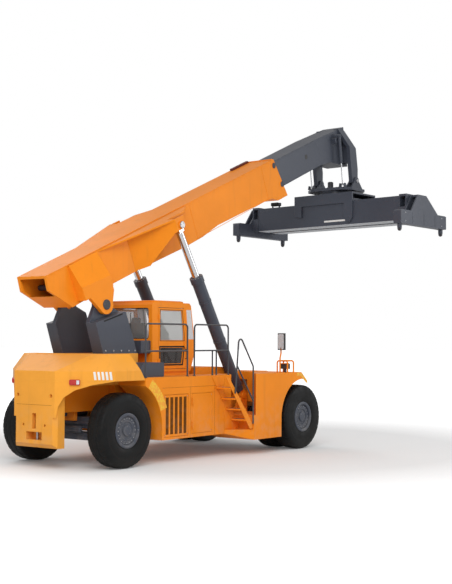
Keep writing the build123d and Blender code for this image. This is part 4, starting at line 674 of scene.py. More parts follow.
class STACKER_OT_finishes(bpy.types.Operator):
    """Gives every CAD node its finish"""

    bl_idname = "stacker.finishes"
    bl_label = "Finishes"

    def execute(self, context):
        make_finishes(context.scene.stacker_paint)
        for part in frame["record"]["subparts"]:
            node = frame["nodes"][part["node"]]
            node.data.materials.clear()
            finish = OWN_FINISH.get(part["node"], part["material_slot"])
            node.data.materials.append(finishes[finish])
        # the work lamps and the mirrors have dark housings, the doors' lower panes are dark
        front = from_axle(WORK_LAMPS_FROM, 0, 0).x
        self.second("lamps", "cast_grey", lambda place: place.x > front)
        self.second("fender_fittings", "black_plastic", lambda place: place.z > MIRRORS_FROM)
        for name, _ in SIDES:
            self.second(f"door_glass_{name}", "dark_lower_glass", lambda place: place.z < DOOR_BAR)
        # painted light: the cab's inside faces are pale, so that the view through the rear window reads light
        low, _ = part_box("cab_base")
        wall, half, floor, roof = PAINTED_LIGHT_INSIDE
        self.second("cab_shell", "pale_painted_light", lambda place: (
            low.x + wall < place.x and abs(place.y) < half and floor < place.z < roof
        ))
        return {"FINISHED"}

    def second(self, node, finish, chosen):
        """A second finish on the faces of a node that are chosen by place."""
        mesh = frame["nodes"][node].data
        mesh.materials.append(finishes[finish])
        for face in mesh.polygons:
            face.material_index = 1 if chosen(face.center) else 0


TYRE_HALF = 0.25
# half width and radius of a tyre from the bead over the shoulder to the middle of the tread
TYRE_PROFILE = (
    (0.186, 0.3185), (0.19, 0.345), (0.202, 0.362), (0.214, 0.372), (0.226, 0.392), (0.24, 0.43),
    (0.2475, 0.48), (0.25, 0.54), (0.248, 0.6), (0.2455, 0.618), (0.2475, 0.63), (0.2435, 0.66),
    (0.239, 0.69), (0.234, 0.72), (0.2265, 0.75), (0.216, 0.772), (0.203, 0.7865), (0.19, 0.794),
    (0.17, 0.7985), (0.148, 0.801), (0.128, 0.803), (0.108, 0.8045), (0.088, 0.8055), (0.078, 0.806),
    (0.068, 0.8062), (0.058, 0.8065), (0.042, 0.807), (0.026, 0.8073), (0.01, 0.8075),
)
TYRE_INSIDE = ((0.17, 0.325), (-0.17, 0.325))  # place across and radius under the beads
TREAD_FROM = 0.762  # radius beyond which the rubber is cut
PITCH_STEPS = 8


class STACKER_OT_tyres(bpy.types.Operator):
    """Moulds the six tyres with their tread"""

    bl_idname = "stacker.tyres"
    bl_label = "Tyres"

    def execute(self, context):
        settings = context.scene.stacker_tyres
        for name, _ in SIDES:
            steer = joint_place(f"{name}_steer_wheel_roll")
            made = self.tyre(f"steer_tread_{name}", [steer], f"{name}_steer_wheel", settings)
            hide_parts(f"steer_tyre_{name}")
            low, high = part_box(f"drive_tyres_{name}")
            middle = joint_place(f"{name}_drive_wheel_roll")
            hubs = [Vector((middle.x, y, middle.z)) for y in (low.y + TYRE_HALF, high.y - TYRE_HALF)]
            made = self.tyre(f"drive_tread_{name}", hubs, f"{name}_drive_wheel", settings)
            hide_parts(f"drive_tyres_{name}")
        return {"FINISHED"}

    def depth(self, step, y, radius, settings):
        """How far the tread is cut at a step round the tyre and a place across it."""
        if radius < TREAD_FROM:
            return 0.0
        slant = 1 if y > 0 else 0
        turn = (step + slant * PITCH_STEPS // 2) % PITCH_STEPS
        shoulder = abs(y) > 0.1 and turn in (0, 1)
        wander = 0.01 if (step // (PITCH_STEPS // 2)) % 2 else -0.01
        channel = any(abs(y - middle - wander) < 0.012 for middle in (-0.068, 0.068))
        return settings.groove * (1.0 if channel else 0.8 if shoulder else 0.0)

    def tyre(self, name, hubs, body, settings):
        shape = Shape()
        steps = settings.bars * PITCH_STEPS
        for hub in hubs:
            place = turned_to((0, 1, 0), origin=hub)
            across = [(-y, r) for y, r in TYRE_PROFILE] + [(y, r) for y, r in reversed(TYRE_PROFILE)]
            rows = []
            for step in range(steps):
                t = 2 * math.pi * step / steps
                tread = [(y, radius - self.depth(step, y, radius, settings)) for y, radius in across]
                rows.append([place @ round_z(radius, t, y) for y, radius in (*tread, *TYRE_INSIDE)])
            shape.hoop(rows)
        return shape.piece(name, "tyre_rubber", body)


# ---- trim of the wheels
FLANGE = (  # radius, distance outwards from the tyre's middle: the rim's outer lip
    (0.304, 0.206), (0.304, 0.219), (0.316, 0.232), (0.334, 0.2375), (0.352, 0.2385), (0.368, 0.236),
    (0.377, 0.2295), (0.379, 0.222), (0.374, 0.216), (0.352, 0.2155), (0.332, 0.216), (0.318, 0.214),
)
COVER = (  # radius, distance outwards: ribbed disc bolted inside the lip
    (0.185, 0.15), (0.185, 0.196), (0.196, 0.204), (0.212, 0.204), (0.219, 0.197), (0.232, 0.197),
    (0.239, 0.204), (0.252, 0.204), (0.259, 0.197), (0.272, 0.197), (0.279, 0.204), (0.292, 0.204),
    (0.303, 0.196), (0.303, 0.15),
)
HUB_CAP = ((0.12, 0.188), (0.12, 0.214), (0.108, 0.224), (0.06, 0.228), (0.0, 0.229))


class STACKER_OT_wheels(bpy.types.Operator):
    """Adds the rims' lips, covers, bolts and valves"""

    bl_idname = "stacker.wheels"
    bl_label = "Wheel trim"

    def execute(self, context):
        for name, side in SIDES:
            steer = joint_place(f"{name}_steer_wheel_roll")
            self.face(f"steer_{name}", steer, side, f"{name}_steer_wheel", 0.0)
            low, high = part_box(f"drive_tyres_{name}")
            middle = joint_place(f"{name}_drive_wheel_roll")
            outer = low.y + TYRE_HALF if side < 0 else high.y - TYRE_HALF
            hub = Vector((middle.x, outer, middle.z))
            self.face(f"drive_{name}", hub, side, f"{name}_drive_wheel", -0.012)
        return {"FINISHED"}

    def face(self, name, hub, side, body, sunk):
        place = turned_to((0, side, 0), origin=hub)
        lip = Shape()
        lip.ring(place, FLANGE, 72)
        cover = [(radius, height + sunk) for radius, height in COVER]
        lip.ring(place, cover, 72)
        lip.turned(place, [(radius, height + sunk) for radius, height in HUB_CAP], 40)
        lip.piece(f"rim_lip_{name}", "grey_paint", body)
        nuts = Shape()
        nuts.bolt_circle(place, 20, 0.2655, 0.196 + sunk, 0.0115)
        nuts.bolt_circle(place, 8, 0.09, 0.2185 + sunk, 0.009)
        nuts.piece(f"wheel_nuts_{name}", "steel", body, slot="grey_paint")
        reach = moved(0.318, 0, 0.222)
        Shape().turned(
            place @ reach, [(0.006, 0), (0.006, 0.02), (0.0085, 0.021), (0.0085, 0.027), (0.004, 0.027)], 10
        ).piece(f"valve_{name}", "steel", body, slot="grey_paint")


# ---- bodywork
BODY_HALF = 1.6
LOUVRE = (1.13, 1.96, 0.59, 1.52)  # x from and to, z from and to, ahead of the steer axle
LOCKER = (2.1, 2.84, 0.62, 1.52)
CORNER = ((-1.26, 0.62), (-0.45, 1.6))  # x, y of the slanted rear corners
SEAMS = (  # x, z of the panel joints on the body's side, as start and end
    ((1.06, 1.68), (3.29, 1.68)),
    ((2.03, 0.54), (2.03, 1.68)),
    ((2.93, 0.54), (2.93, 1.68)),
)


def on_side(x, z, side, out=0.0):
    """Frame on the body's side: X forward or back, Y up, Z outwards."""
    return on_flank(x, BODY_HALF + out, z, side)


def on_corner(share, z, side, out=0.0):
    """Frame on a slanted rear corner: X along it, Y up, Z outwards."""
    (x0, y0), (x1, y1) = CORNER
    run, rise = x1 - x0, y1 - y0
    outward = Vector((-rise, side * run, 0)).normalized()
    spot = from_axle(x0 + run * share, side * (y0 + rise * share), z) + outward * out
    return turned_to(outward, origin=spot)


class STACKER_OT_bodywork(bpy.types.Operator):
    """Adds louvre blades over dark backs of painted shade, seams, panel screws and lamp lenses"""

    bl_idname = "stacker.bodywork"
    bl_label = "Bodywork"

    def execute(self, context):
        for name, side in SIDES:
            self.louvres(name, side)
            self.fastenings(name, side)
            self.tail_lamp(name, side)
        return {"FINISHED"}

    def louvres(self, name, side):
        x0, x1, z0, z1 = LOUVRE
        # the blades are dark brown: painted shade between them
        blades = Shape()
        rows = 30
        height = z1 - z0 - 0.13
        for column in range(5):
            x = (x0 + x1) / 2 + (column - 2) * 0.155
            for row in range(rows):
                z = (z0 + z1) / 2 + height * ((row + 0.5) / rows - 0.5)
                tilt = Matrix.Rotation(math.radians(24), 4, "X")
                blades.block(on_side(x, z, side, -0.0065) @ tilt, 0.094, 0.011, 0.0012)
        blades.piece(f"louvre_blades_{name}", "joint_and_vent_shade", smooth=False)
        # painted shade: a dark sheet behind the blades stands for the shade inside the vent
        dark = Shape()
        for column in range(5):
            x = (x0 + x1) / 2 + (column - 2) * 0.155
            dark.block(on_side(x, (z0 + z1) / 2, side, -0.0093), 0.097, height + 0.02, 0.0008)
        dark.piece(f"louvre_shade_backs_{name}", "vent_shade_back", smooth=False)

    def fastenings(self, name, side):
        seams = Shape()
        for (xa, za), (xb, zb) in SEAMS:
            if xa == xb:
                seams.block(on_side(xa, (za + zb) / 2, side), 0.006, zb - za, 0.0012)
            else:
                seams.block(on_side((xa + xb) / 2, za, side), xb - xa, 0.006, 0.0012)
        seams.piece(f"panel_seams_{name}", "joint_and_vent_shade", smooth=False)
        heads = Shape()
        for x0, x1, z0, z1 in (LOUVRE, LOCKER):
            for x in (x0 + 0.03, x1 - 0.03):
                for z in (z0 + 0.04, z1 - 0.04):
                    if (x0, x) != (LOCKER[0], LOCKER[0] + 0.03):
                        heads.bolt(on_side(x, z, side), 0.008)
        heads.piece(f"panel_screws_{name}", "steel", slot="orange_paint")

    def tail_lamp(self, name, side):
        # the CAD lamp's body stands 35 mm out of the corner
        for label, start, width, finish in (
            ("red", -0.096, 0.128, "lamp_lens"), ("white", 0.038, 0.058, "clear_lens"),
        ):
            lens_shape = Shape()
            place = on_corner(0.33, 1.85, side, 0.0352)
            outline = seen_from(side, (
                (start, -0.042), (start + width, -0.042), (start + width, 0.042), (start, 0.042),
            ))
            lens_shape.loft([
                [place @ Vector((x, y, 0)) for x, y in outline],
                [place @ Vector((x, y, 0.006)) for x, y in outline],
                [place @ Vector((x * 0.97, y * 0.9, 0.011)) for x, y in outline],
            ])
            lens_shape.piece(f"tail_lens_{label}_{name}", finish, smooth=False)


# ---- markings
SHEET = 0.0015  # thickness of what is stuck on
STRIPE = ((-0.012, -0.085), (0.036, -0.085), (0.012, 0.085), (-0.036, 0.085))
FENDER_STRIP = (
    (5.72, 1.84), (5.9, 1.84), (6.16, 1.66), (6.21, 1.66), (6.18, 1.73), (5.92, 1.93), (5.72, 1.93),
)
ARCH = (1.075, 1.29)  # radii of the reflective band round the rear arch


class STACKER_OT_markings(bpy.types.Operator):
    """Lays the white stripes and the reflective strips, with no words"""

    bl_idname = "stacker.markings"
    bl_label = "Markings"

    def execute(self, context):
        for name, side in SIDES:
            stripes = Shape()
            for i in range(5):
                place = on_corner(0.66 + 0.066 * i, 1.985, side)
                stripes.prism(place, seen_from(side, STRIPE), SHEET)
            stripes.piece(f"stripes_{name}", "white_mark", smooth=False)
            strips = Shape()
            rows = []
            for i in range(25):
                t = math.radians(20 + 36 * i / 24)
                rows.append([
                    from_axle(r * math.cos(t), side * (BODY_HALF + out), STEER.z + r * math.sin(t))
                    for r, out in ((ARCH[0], 0), (ARCH[1], 0), (ARCH[1], SHEET), (ARCH[0], SHEET))
                ])
            strips.loft(rows)
            tip = on_flank(0, 2.05, 0, side)
            strips.prism(tip, seen_from(side, FENDER_STRIP), SHEET)
            strips.piece(f"reflectors_{name}", "yellow_mark", smooth=False)
        return {"FINISHED"}


# ---- seat
INSET = 0.014  # of the pad inside the plain cushion's box, before it is blown up
SWELL = 0.012  # furthest that a point of the skin may move
AIR_FRAMES = 18
CHANNELS = (-0.07, 0.07)  # sewn across the seat, ahead of its middle
CHANNEL_HALF = 0.016
CHANNEL_DEPTH = 0.006


class STACKER_OT_seat(bpy.types.Operator):
    """Blows up the seat's cushion by cloth simulation"""

    bl_idname = "stacker.seat"
    bl_label = "Seat cushion"

    def execute(self, context):
        low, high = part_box("seat_cushion")
        shape = Shape()
        middle = (low + high) / 2
        length, width, height = (high[i] - low[i] - 2 * INSET for i in range(3))
        place = moved(middle.x, middle.y, low.z + INSET * 0.5)
        shape.block(place, length, width, height + INSET * 0.5, 0.05)
        bmesh.ops.subdivide_edges(shape.mesh, edges=shape.mesh.edges, cuts=3, use_grid_fill=True)
        cushion = shape.piece("padded_seat", "seat_fabric")
        context.view_layer.objects.active = cushion
        self.blow_up(context, cushion, low.z, high.z)
        for v in cushion.data.vertices:
            for channel in CHANNELS:
                near = abs(v.co.x - middle.x - channel)
                if v.co.z > middle.z and near < CHANNEL_HALF:
                    v.co.z -= CHANNEL_DEPTH * (1 - near / CHANNEL_HALF)
        smooth = cushion.modifiers.new("soft", "SUBSURF")
        smooth.levels = smooth.render_levels = 1
        cushion.data.shade_smooth()
        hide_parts("seat_cushion")
        return {"FINISHED"}

    def blow_up(self, context, cushion, lowest, highest):
        """Lets air into the skin, and holds it near its foam and inside the plain cushion's height."""
        remesh = cushion.modifiers.new("even mesh", "REMESH")
        remesh.mode = "VOXEL"
        remesh.voxel_size = 0.009
        self.apply(context, cushion, remesh)
        start = [v.co.copy() for v in cushion.data.vertices]
        blown = cushion.modifiers.new("air", "CLOTH")
        blown.settings.use_pressure = True
        blown.settings.uniform_pressure_force = 4.0
        blown.settings.effector_weights.gravity = 0.0
        for frame_number in range(1, AIR_FRAMES + 1):
            context.scene.frame_set(frame_number)
        self.apply(context, cushion, blown)
        context.scene.frame_set(1)
        for v, before in zip(cushion.data.vertices, start):
            moved_by = v.co - before
            if moved_by.length > SWELL:
                v.co = before + moved_by.normalized() * SWELL
            v.co.z = min(max(v.co.z, lowest + 0.0006), highest - 0.0005)

    def apply(self, context, made, modifier):
        """Keeps a modifier's result as the mesh."""
        graph = context.evaluated_depsgraph_get()
        held = bpy.data.meshes.new_from_object(made.evaluated_get(graph), depsgraph=graph)
        made.modifiers.remove(modifier)
        made.data = held


# ---- cab
CAB_HALF = 0.78
CAB_FLOOR = 2.06
CORNER_PANE = ((2.93, 2.76), (3.145, 2.76), (3.03, 3.46), (2.865, 3.46))
DOOR_WINDOWS = (  # width of the black rim, then x, z of the corners
    (0.022, ((1.93, 2.74), (1.93, 3.43), (2.7, 3.43), (2.775, 2.9), (2.775, 2.74))),
    (0.045, ((1.93, 2.19), (1.93, 2.56), (2.76, 2.56), (2.7, 2.19))),
)


def frame_outline(corners, grow):
    """Corners moved outwards from their middle by about that much."""
    cx = sum(x for x, _ in corners) / len(corners)
    cz = sum(z for _, z in corners) / len(corners)
    return [
        (x + math.copysign(grow, x - cx), z + math.copysign(grow, z - cz)) for x, z in corners
    ]


def band(shape, place, outer, inner, depth):
    """Flat frame between two outlines of as many corners."""
    rows = []
    for (xo, yo), (xi, yi) in zip(outer, inner):
        rows.append([
            place @ Vector((xo, yo, 0)), place @ Vector((xi, yi, 0)),
            place @ Vector((xi, yi, depth)), place @ Vector((xo, yo, depth)),
        ])
    rows.append(rows[0])
    shape.loft(rows, closed=False)


class STACKER_OT_cab(bpy.types.Operator):
    """Adds seals, handles, wiper, roof cap, levers and headrest"""

    bl_idname = "stacker.cab"
    bl_label = "Cab"

    def execute(self, context):
        for name, side in SIDES:
            self.door(name, side)
        self.screens()
        self.roof()
        self.inside()
        return {"FINISHED"}

    def door(self, name, side):
        seals = Shape()
        for rim, corners in DOOR_WINDOWS:
            place = on_flank(0, CAB_HALF, 0, side)
            outer, inner = (seen_from(side, frame_outline(corners, grow)) for grow in (rim, -0.012))
            band(seals, place, outer, inner, 0.005)
        seals.piece(f"door_seals_{name}", "seal", f"{name}_cab_door", smooth=False)
        grip = Shape()
        spots = [(2.83, 2.52, 0.0), (2.83, 2.52, 0.05), (2.83, 2.3, 0.05), (2.83, 2.3, 0.0)]
        grip.pipe([from_axle(x, side * (CAB_HALF + out), z) for x, z, out in spots], 0.009, corner=2.5)
        grip.piece(f"door_grip_{name}", "black_plastic", f"{name}_cab_door")

    def screens(self):
        # the windscreen's return round the cab's front corners
        for name, side in SIDES:
            place = on_flank(0, CAB_HALF, 0, side)
            Shape().prism(place, seen_from(side, CORNER_PANE), 0.002).piece(
                f"corner_pane_{name}", "mirror", slot="cab_glass_tint", smooth=False
            )
        seals = Shape()
        back = turned_to((-1, 0, 0), origin=from_axle(1.65, 0, 3.125))
        band(seals, back, self.rounded(0.685, 0.375, 0.075), self.rounded(0.655, 0.345, 0.055), 0.006)
        seals.piece("rear_window_seal", "seal", smooth=False)
        Shape().block(
            turned_to((-1, 0, 0), origin=from_axle(1.65, -0.42, 2.58)), 0.62, 0.3, 0.34, 0.02
        ).piece("intake_box", "grey_paint", bevel=0.006, smooth=False)
        arm = Shape()
        arm.turned(back @ moved(0, -0.39, 0), [(0.03, 0), (0.03, 0.018), (0.018, 0.026)], 16)
        for radius, spots in (
            (0.006, ((0, -0.39, 0.02), (0.05, -0.25, 0.022), (0.1, 0.0, 0.014))),
            (0.007, ((0.1, -0.24, 0.009), (0.1, 0.26, 0.009))),
        ):
            arm.pipe([back @ Vector(spot) for spot in spots], radius, sides=8)
        arm.piece("rear_wiper", "black_plastic")

    def rounded(self, half_x, half_y, radius, steps=5):
        corners = []
        for cx, cy, start in ((1, 1, 0), (-1, 1, 90), (-1, -1, 180), (1, -1, 270)):
            for i in range(steps + 1):
                t = math.radians(start + 90 * i / steps)
                corners.append((
                    cx * (half_x - radius) + radius * math.cos(t),
                    cy * (half_y - radius) + radius * math.sin(t),
                ))
        return corners

    def roof(self):
        low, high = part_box("cab_shell")
        top = high.z
        middle = Matrix.Translation(((low.x + high.x) / 2 - 0.12, 0, top))
        wide, long = (high.y - low.y) / 2, (high.x - low.x) / 2 - 0.2
        rings = []
        for inset, rise in ((0.03, 0.0), (0.03, 0.022), (0.045, 0.036), (0.08, 0.045), (0.2, 0.05)):
            rings.append([
                middle @ Vector((x, y, rise)) for x, y in self.rounded(long - inset, wide - inset, 0.09)
            ])
        Shape().loft(rings).piece("roof_cap", "orange_paint")

    def inside(self):
        levers = Shape()
        for x, y in ((2.42, -0.37), (2.36, -0.37), (2.3, -0.37)):
            foot = from_axle(x, y, CAB_FLOOR + 0.59)
            levers.turned(moved(*foot), [(0.02, 0), (0.012, 0.015), (0.006, 0.03), (0.006, 0.1)], 12)
            knob = [(0.008, 0), (0.018, 0.008), (0.02, 0.03), (0.014, 0.05), (0.0, 0.056)]
            levers.turned(moved(foot.x, foot.y, foot.z + 0.1), knob, 14)
        levers.piece("hand_levers", "black_plastic")
        rest = Shape()
        place = turned_to((-1, 0, 0.12), origin=from_axle(1.975, 0, CAB_FLOOR + 1.13))
        rest.loft([
            [place @ Vector((x * (0.13 - inset), y * (0.075 - inset), depth)) for x, y in (
                (-1, -0.7), (-0.7, -1), (0.7, -1), (1, -0.7), (1, 0.7), (0.7, 1), (-0.7, 1), (-1, 0.7),
            )]
            for inset, depth in (
                (0.025, -0.005), (0.006, 0.006), (0.0, 0.02), (0.0, 0.05), (0.008, 0.064), (0.03, 0.07),
            )
        ])
        rest.piece("headrest", "seat_fabric")


# ---- boom
BOOM_HALF = 0.45
BOOM_TOP = 1.145
PADS = ((7.79, 0.98), (7.975, 0.4))  # u, w of the bolted covers
LIFT_PIN = (2.73, 0.92)
WING = 1.074  # outer ends of the lift pins


class STACKER_OT_boom(bpy.types.Operator):
    """Adds pad bolts, pin caps, weld seams and the bar on the boom"""

    bl_idname = "stacker.boom"
    bl_label = "Boom trim"

    def execute(self, context):
        for name, side in SIDES:
            self.covers(name, side)
            self.pins(name, side)
            self.welds(name, side)
        self.top_bar()
        return {"FINISHED"}

    def covers(self, name, side):
        screws = Shape()
        for u, w in PADS:
            face = turned_to((0, side, 0), BOOM_ALONG, on_boom(u, w, side * (BOOM_HALF + 0.014)))
            screws.bolt_circle(face, 6, 0.056, 0.008, 0.009)
            screws.turned(face, [(0.078, 0), (0.078, 0.006), (0.072, 0.008), (0.0, 0.008)], 32)
            screws.turned(face, [(0.032, 0), (0.032, 0.014), (0.026, 0.018), (0.0, 0.018)], 20)
        screws.piece(f"pad_covers_{name}", "cast_grey", "boom")

    def pins(self, name, side):
        for label, u, w, y, radius, bolts, finish in (
            ("lift", *LIFT_PIN, WING, 0.086, 3, "steel"), ("foot", 0.0, 0.0, 0.702, 0.115, 6, "cast_grey"),
        ):
            caps = Shape()
            face = turned_to((0, side, 0), BOOM_ALONG, on_boom(u, w, side * y))
            caps.turned(face, [(radius, 0), (radius, 0.012), (radius - 0.008, 0.018), (0.0, 0.018)], 32)
            caps.bolt_circle(face, bolts, radius * 0.66, 0.018, 0.011)
            caps.piece(f"{label}_pin_cap_{name}", finish, "boom")
        head = Shape()
        spot = Vector((HEAD_PIN.x, side * 0.745, HEAD_PIN.z))
        face = turned_to((0, side, 0), origin=spot)
        head.turned(face, [(0.056, 0), (0.056, 0.008), (0.05, 0.012), (0.0, 0.012)], 28)
        head.bolt(face @ moved(0, 0, 0.012), 0.014)
        head.piece(f"head_pin_cap_{name}", "steel", "hanging_frame")

    def welds(self, name, side):
        seams = Shape()
        y = side * (BOOM_HALF + 0.001)
        for start, end in (((-1.15, 1.128), (7.7, 1.128)), ((3.9, 0.215), (7.3, 0.2))):
            seams.pipe([on_boom(u, w, y) for u, w in (start, end)], 0.007, sides=8)
        for u, low, high in ((1.46, 0.28, 1.12), (3.9, 0.215, 1.12), (7.2, 0.2, 1.12)):
            seams.pipe([on_boom(u, w, y) for w in (low, high)], 0.005, sides=8)
        seams.piece(f"boom_welds_{name}", "orange_paint", "boom")
        inner = Shape()
        y = side * 0.3605
        inner.pipe([on_boom(u, 0.312, y) for u in (8.2, 10.1)], 0.006, sides=8)
        inner.pipe([on_boom(u, 1.05, y) for u in (7.95, 10.15)], 0.006, sides=8)
        inner.piece(f"inner_welds_{name}", "grey_paint", "telescope")
        face = turned_to((0, side, 0), BOOM_ALONG, on_boom(9.6, 0.73, side * 0.36))
        Shape().turned(face, [(0.07, 0), (0.07, 0.004), (0.0, 0.004)], 24).piece(
            f"inner_port_{name}", "black_plastic", "telescope"
        )

    def top_bar(self):
        place = turned_to(BOOM_UP, origin=on_boom(7.35, BOOM_TOP, 0.36))
        flat = place.to_3x3().inverted() @ BOOM_ALONG
        turn = Matrix.Rotation(math.atan2(flat.y, flat.x), 4, "Z")
        Shape().block(place @ turn, 0.8, 0.09, 0.055, 0.01).piece("top_bar", "dark_red", "boom")
        Shape().block(place @ turn @ moved(0.45, -0.36, 0), 0.05, 0.86, 0.02).piece(
            "boom_end_lip", "orange_paint", "boom", bevel=0.004, smooth=False
        )


# ---- cylinders
class STACKER_OT_cylinders(bpy.types.Operator):
    """Adds gland bolts, bands and pipes to the cylinders"""

    bl_idname = "stacker.cylinders"
    bl_label = "Cylinders"

    def execute(self, context):
        for name, _ in SIDES:
            stroke = Vector(joints[f"{name}_lift_stroke"]["axis"]).normalized()
            foot = joint_place(f"{name}_lift_pivot")
            place = turned_to(stroke, (0, 1, 0), foot)
            trim = Shape()
            for length in (0.3, 1.6, 2.7):
                trim.ring(
                    place @ moved(0, 0, length),
                    [(0.149, 0), (0.158, 0), (0.158, 0.05), (0.149, 0.05)], 40,
                )
            trim.pipe([place @ Vector(p) for p in (
                (0.15, 0.05, 0.35), (0.185, 0.06, 0.35), (0.185, 0.06, 3.2), (0.15, 0.05, 3.2),
            )], 0.016, sides=12)
            trim.piece(f"lift_trim_{name}", "grey_paint", f"{name}_lift_barrel")
            bolts = Shape()
            bolts.bolt_circle(place, 12, 0.128, 3.4, 0.013)
            bolts.piece(f"gland_bolts_{name}", "steel", f"{name}_lift_barrel")
        return {"FINISHED"}


# ---- spreader
BEAM_TOP = -0.66  # below the head pin
BEAM_LOW = -1.36
BEAM_SIDE = 0.57
BEAM_END = 2.56
END_TOP = -1.13
END_LOW = -1.52
LOCKS = (1.1295, 2.9265)


class STACKER_OT_spreader(bpy.types.Operator):
    """Adds flanges, strips, bolts, a cover on the hoop lamp and corner guides"""

    bl_idname = "stacker.spreader"
    bl_label = "Spreader trim"

    def execute(self, context):
        self.beam()
        self.ring_bolts()
        self.lamp()
        for name, side in SIDES:
            self.end(name, side)
        return {"FINISHED"}

    def at(self, x, y, drop, along=(0, 0, 1)):
        """Frame on the spreader, below the head pin, with its Z along a direction."""
        up = SPREADER_ALONG if Vector(along).z else (0, 0, 1)
        return turned_to(along, up, on_spreader(x, y, HEAD_PIN.z + drop))

    def beam(self):
        # the bottom flanges are pale grey: a painted highlight along the beam's underside
        flange = Shape()
        for across in (-0.345, 0.345):
            flange.block(self.at(across, 0, BEAM_LOW - 0.012), 0.486, 2 * BEAM_END - 0.02, 0.012)
        flange.piece("beam_flanges", "pale_painted_light", "spreader", bevel=0.002, smooth=False)
        ribs = Shape()
        for face in (-1, 1):
            for start, end in ((-2.5, -1.9), (2.0, 2.5)):
                place = self.at(face * BEAM_SIDE, (start + end) / 2, BEAM_TOP - 0.09, SPREADER_AHEAD * face)
                ribs.block(place, end - start, 0.05, 0.003)
            for y in (-2.4, 2.4):
                for drop in (-0.78, -1.2):
                    ribs.bolt(self.at(face * BEAM_SIDE, y, drop, SPREADER_AHEAD * face), 0.014)
        ribs.piece("beam_ribs", "grey_paint", "spreader", smooth=False)
        place = self.at(-BEAM_SIDE, -0.42, BEAM_LOW + 0.13, -SPREADER_AHEAD)
        Shape().block(place, 0.92, 0.05, 0.0015).piece(
            "white_strip", "white_mark", "spreader", slot="grey_paint", smooth=False
        )

    def ring_bolts(self):
        bolts = Shape()
        for i in range(24):
            t = 2 * math.pi * (i + 0.5) / 24
            bolts.bolt(self.at(0.47 * math.cos(t), 0.47 * math.sin(t), -0.225), 0.016)
        bolts.piece("ring_bolts", "steel", "hanging_frame")
        profile = [(0.11, 0), (0.11, 0.05), (0.085, 0.06), (0.085, 0.2), (0.06, 0.22)]
        motor = Shape().turned(self.at(-0.3, 0, -0.225), profile, 28)
        motor.piece("slew_motor", "cast_grey", "hanging_frame")

    def lamp(self):
        face = Shape()
        for lean in (-1, 1):
            place = self.at(-0.345 + lean * 0.065, 2.05, BEAM_TOP + 0.13, SPREADER_AHEAD * lean)
            face.block(place, 0.28, 0.1, 0.02, 0.008)
        face.piece("spreader_lamp_cover", "seal", "spreader", smooth=False)

    def end(self, name, side):
        arm = f"{name}_arm"
        outer = side * (LOCKS[1] + 0.12)
        trim = Shape()
        for x in (-1.0, 1.0):
            for drop in (END_TOP - 0.08, END_LOW + 0.08):
                trim.bolt(self.at(x, outer, drop, SPREADER_ALONG * side), 0.016, 0.004)
        for x in (-LOCKS[0], LOCKS[0]):
            ring = self.at(x, side * LOCKS[1], END_LOW - 0.001, (0, 0, -1))
            trim.bolt_circle(ring, 6, 0.09, 0, 0.01, start=0.2)
        trim.piece(f"end_bolts_{name}", "steel", arm)
        guides = Shape()
        for x in (-1, 1):
            place = self.at(x * 1.225, outer, END_LOW + 0.2, SPREADER_ALONG * side)
            guides.block(place, 0.05, 0.36, 0.004)
        for x in (-0.62, 0.0, 0.62):
            place = self.at(x, outer, (END_TOP + END_LOW) / 2, SPREADER_ALONG * side)
            guides.block(place, 0.03, 0.34, 0.004)
        guides.piece(f"end_ribs_{name}", "grey_paint", arm, bevel=0.002, smooth=False)


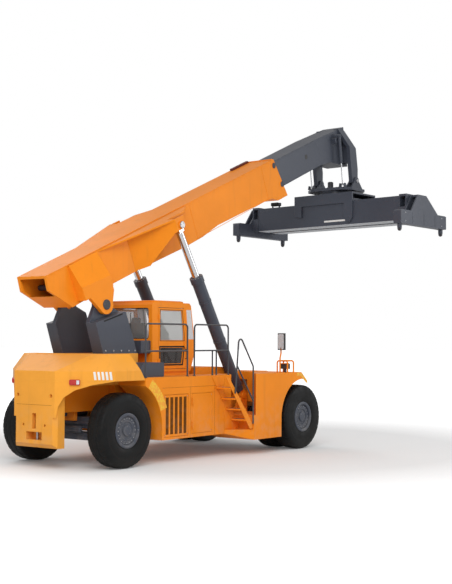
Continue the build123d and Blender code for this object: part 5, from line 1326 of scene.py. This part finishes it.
# ---- steps, lamps and mirrors
class STACKER_OT_fittings(bpy.types.Operator):
    """Adds lamp lenses and caps, mirror faces, tread plates, tower bolts and painted shadow strips, the rear seam
    and the tow pin
    """

    bl_idname = "stacker.fittings"
    bl_label = "Fittings"

    def execute(self, context):
        for name, side in SIDES:
            self.lamps(name, side)
            self.mirror(name, side)
            self.treads(name, side)
        self.plates()
        return {"FINISHED"}

    def lamps(self, name, side):
        place = turned_to((1, 0, 0), origin=from_axle(5.505, side * 1.875, 2.09))
        Shape().block(place, 0.19, 0.1, 0.006, 0.012).piece(
            f"work_lamp_lens_{name}", "clear_lens", smooth=False
        )
        Shape().block(
            turned_to((0, 0, 1), origin=from_axle(5.45, side * 1.875, 2.155)), 0.13, 0.24, 0.014, 0.02
        ).piece(f"work_lamp_cap_{name}", "orange_paint", bevel=0.003, smooth=False)

    def mirror(self, name, side):
        place = turned_to((-1, 0, 0), origin=from_axle(5.155, side * 1.95, 2.71))
        Shape().block(place, 0.17, 0.38, 0.004, 0.02).piece(
            f"mirror_face_{name}", "mirror", slot="black_plastic", smooth=False
        )

    def treads(self, name, side):
        # perforated plates on the four steps and their yellow nosings
        studs = Shape()
        nosing = Shape()
        for n in range(1, 5):
            share = n / 4.6
            x, z = 2.88 + 0.92 * share, 1.88 - 1.18 * share + 0.0175
            for i in range(5):
                for k in range(8):
                    spot = from_axle(x - 0.09 + 0.04 * i, side * (1.65 + 0.043 * k), z)
                    studs.turned(moved(*spot), [(0.012, 0), (0.008, 0.004), (0.003, 0.004)], 8)
            place = turned_to((0, 0, 1), origin=from_axle(x + 0.112, side * 1.805, z))
            nosing.block(place, 0.02, 0.36, 0.0015)
        studs.piece(f"tread_studs_{name}", "grey_paint")
        nosing.piece(f"tread_nosings_{name}", "yellow_mark", slot="grey_paint", smooth=False)

    def plates(self):
        # bolts and painted shadow strips of the towers, the rear seam and the pin in the tow jaw
        heads = Shape()
        for _, side in SIDES:
            for x in (0.1, 0.35, 0.6, 0.85, 1.05):
                heads.bolt(on_flank(x, 0.78, 2.5, side), 0.018)
        heads.piece("tower_bolts", "steel")
        shadow_strips = Shape()
        for _, side in SIDES:
            # painted shadow: a black strip where the gap under each tower's sloping top edge lies in shade
            rise = (from_axle(0.64, 0, 3.325) - from_axle(0.04, 0, 3.145)).normalized()
            place = turned_to((0, side, 0), rise, from_axle(0.34, side * 0.78, 3.235))
            shadow_strips.block(place, 0.03, 0.62, 0.0015)
        shadow_strips.piece("tower_shadow_strips", "seal", slot="grey_paint", smooth=False)
        Shape().block(
            turned_to((-1, 0, 0), origin=from_axle(-1.26, 0, 1.36)), 1.08, 0.006, 0.0012
        ).piece("rear_seam", "joint_and_vent_shade", smooth=False)
        profile = [(0.03, 0), (0.03, 0.46), (0.022, 0.47), (0.0, 0.47)]
        Shape().turned(moved(*from_axle(-1.15, 0, 0.46)), profile, 20).piece("tow_pin", "steel")


class STACKER_PT_panel(bpy.types.Panel):
    """Lists what the add-on makes"""

    bl_idname = "STACKER_PT_panel"
    bl_label = "Reach stacker"
    bl_space_type = "VIEW_3D"
    bl_region_type = "UI"
    bl_category = "Stacker"

    def draw(self, context):
        for operator in operators:
            self.layout.operator(operator.bl_idname)
        for setting in settings_groups:
            group = getattr(context.scene, setting)
            box = self.layout.box()
            for name in group.__annotations__:
                box.prop(group, name)


operators = (
    STACKER_OT_studio, STACKER_OT_finishes, STACKER_OT_tyres, STACKER_OT_wheels, STACKER_OT_bodywork,
    STACKER_OT_markings, STACKER_OT_seat, STACKER_OT_cab, STACKER_OT_boom, STACKER_OT_cylinders,
    STACKER_OT_spreader, STACKER_OT_fittings,
)
settings_groups = {
    "stacker_paint": StackerPaint, "stacker_tyres": StackerTyres, "stacker_studio": StackerStudio,
}
classes = (*settings_groups.values(), *operators, STACKER_PT_panel)


def register():
    for each in classes:
        bpy.utils.register_class(each)
    for setting, group in settings_groups.items():
        setattr(bpy.types.Scene, setting, PointerProperty(type=group))


def unregister():
    for setting in settings_groups:
        delattr(bpy.types.Scene, setting)
    for each in reversed(classes):
        bpy.utils.unregister_class(each)


def main():
    register()
    for operator in operators:
        group, name = operator.bl_idname.split(".")
        getattr(getattr(bpy.ops, group), name)()


if __name__ == "__main__":
    main()
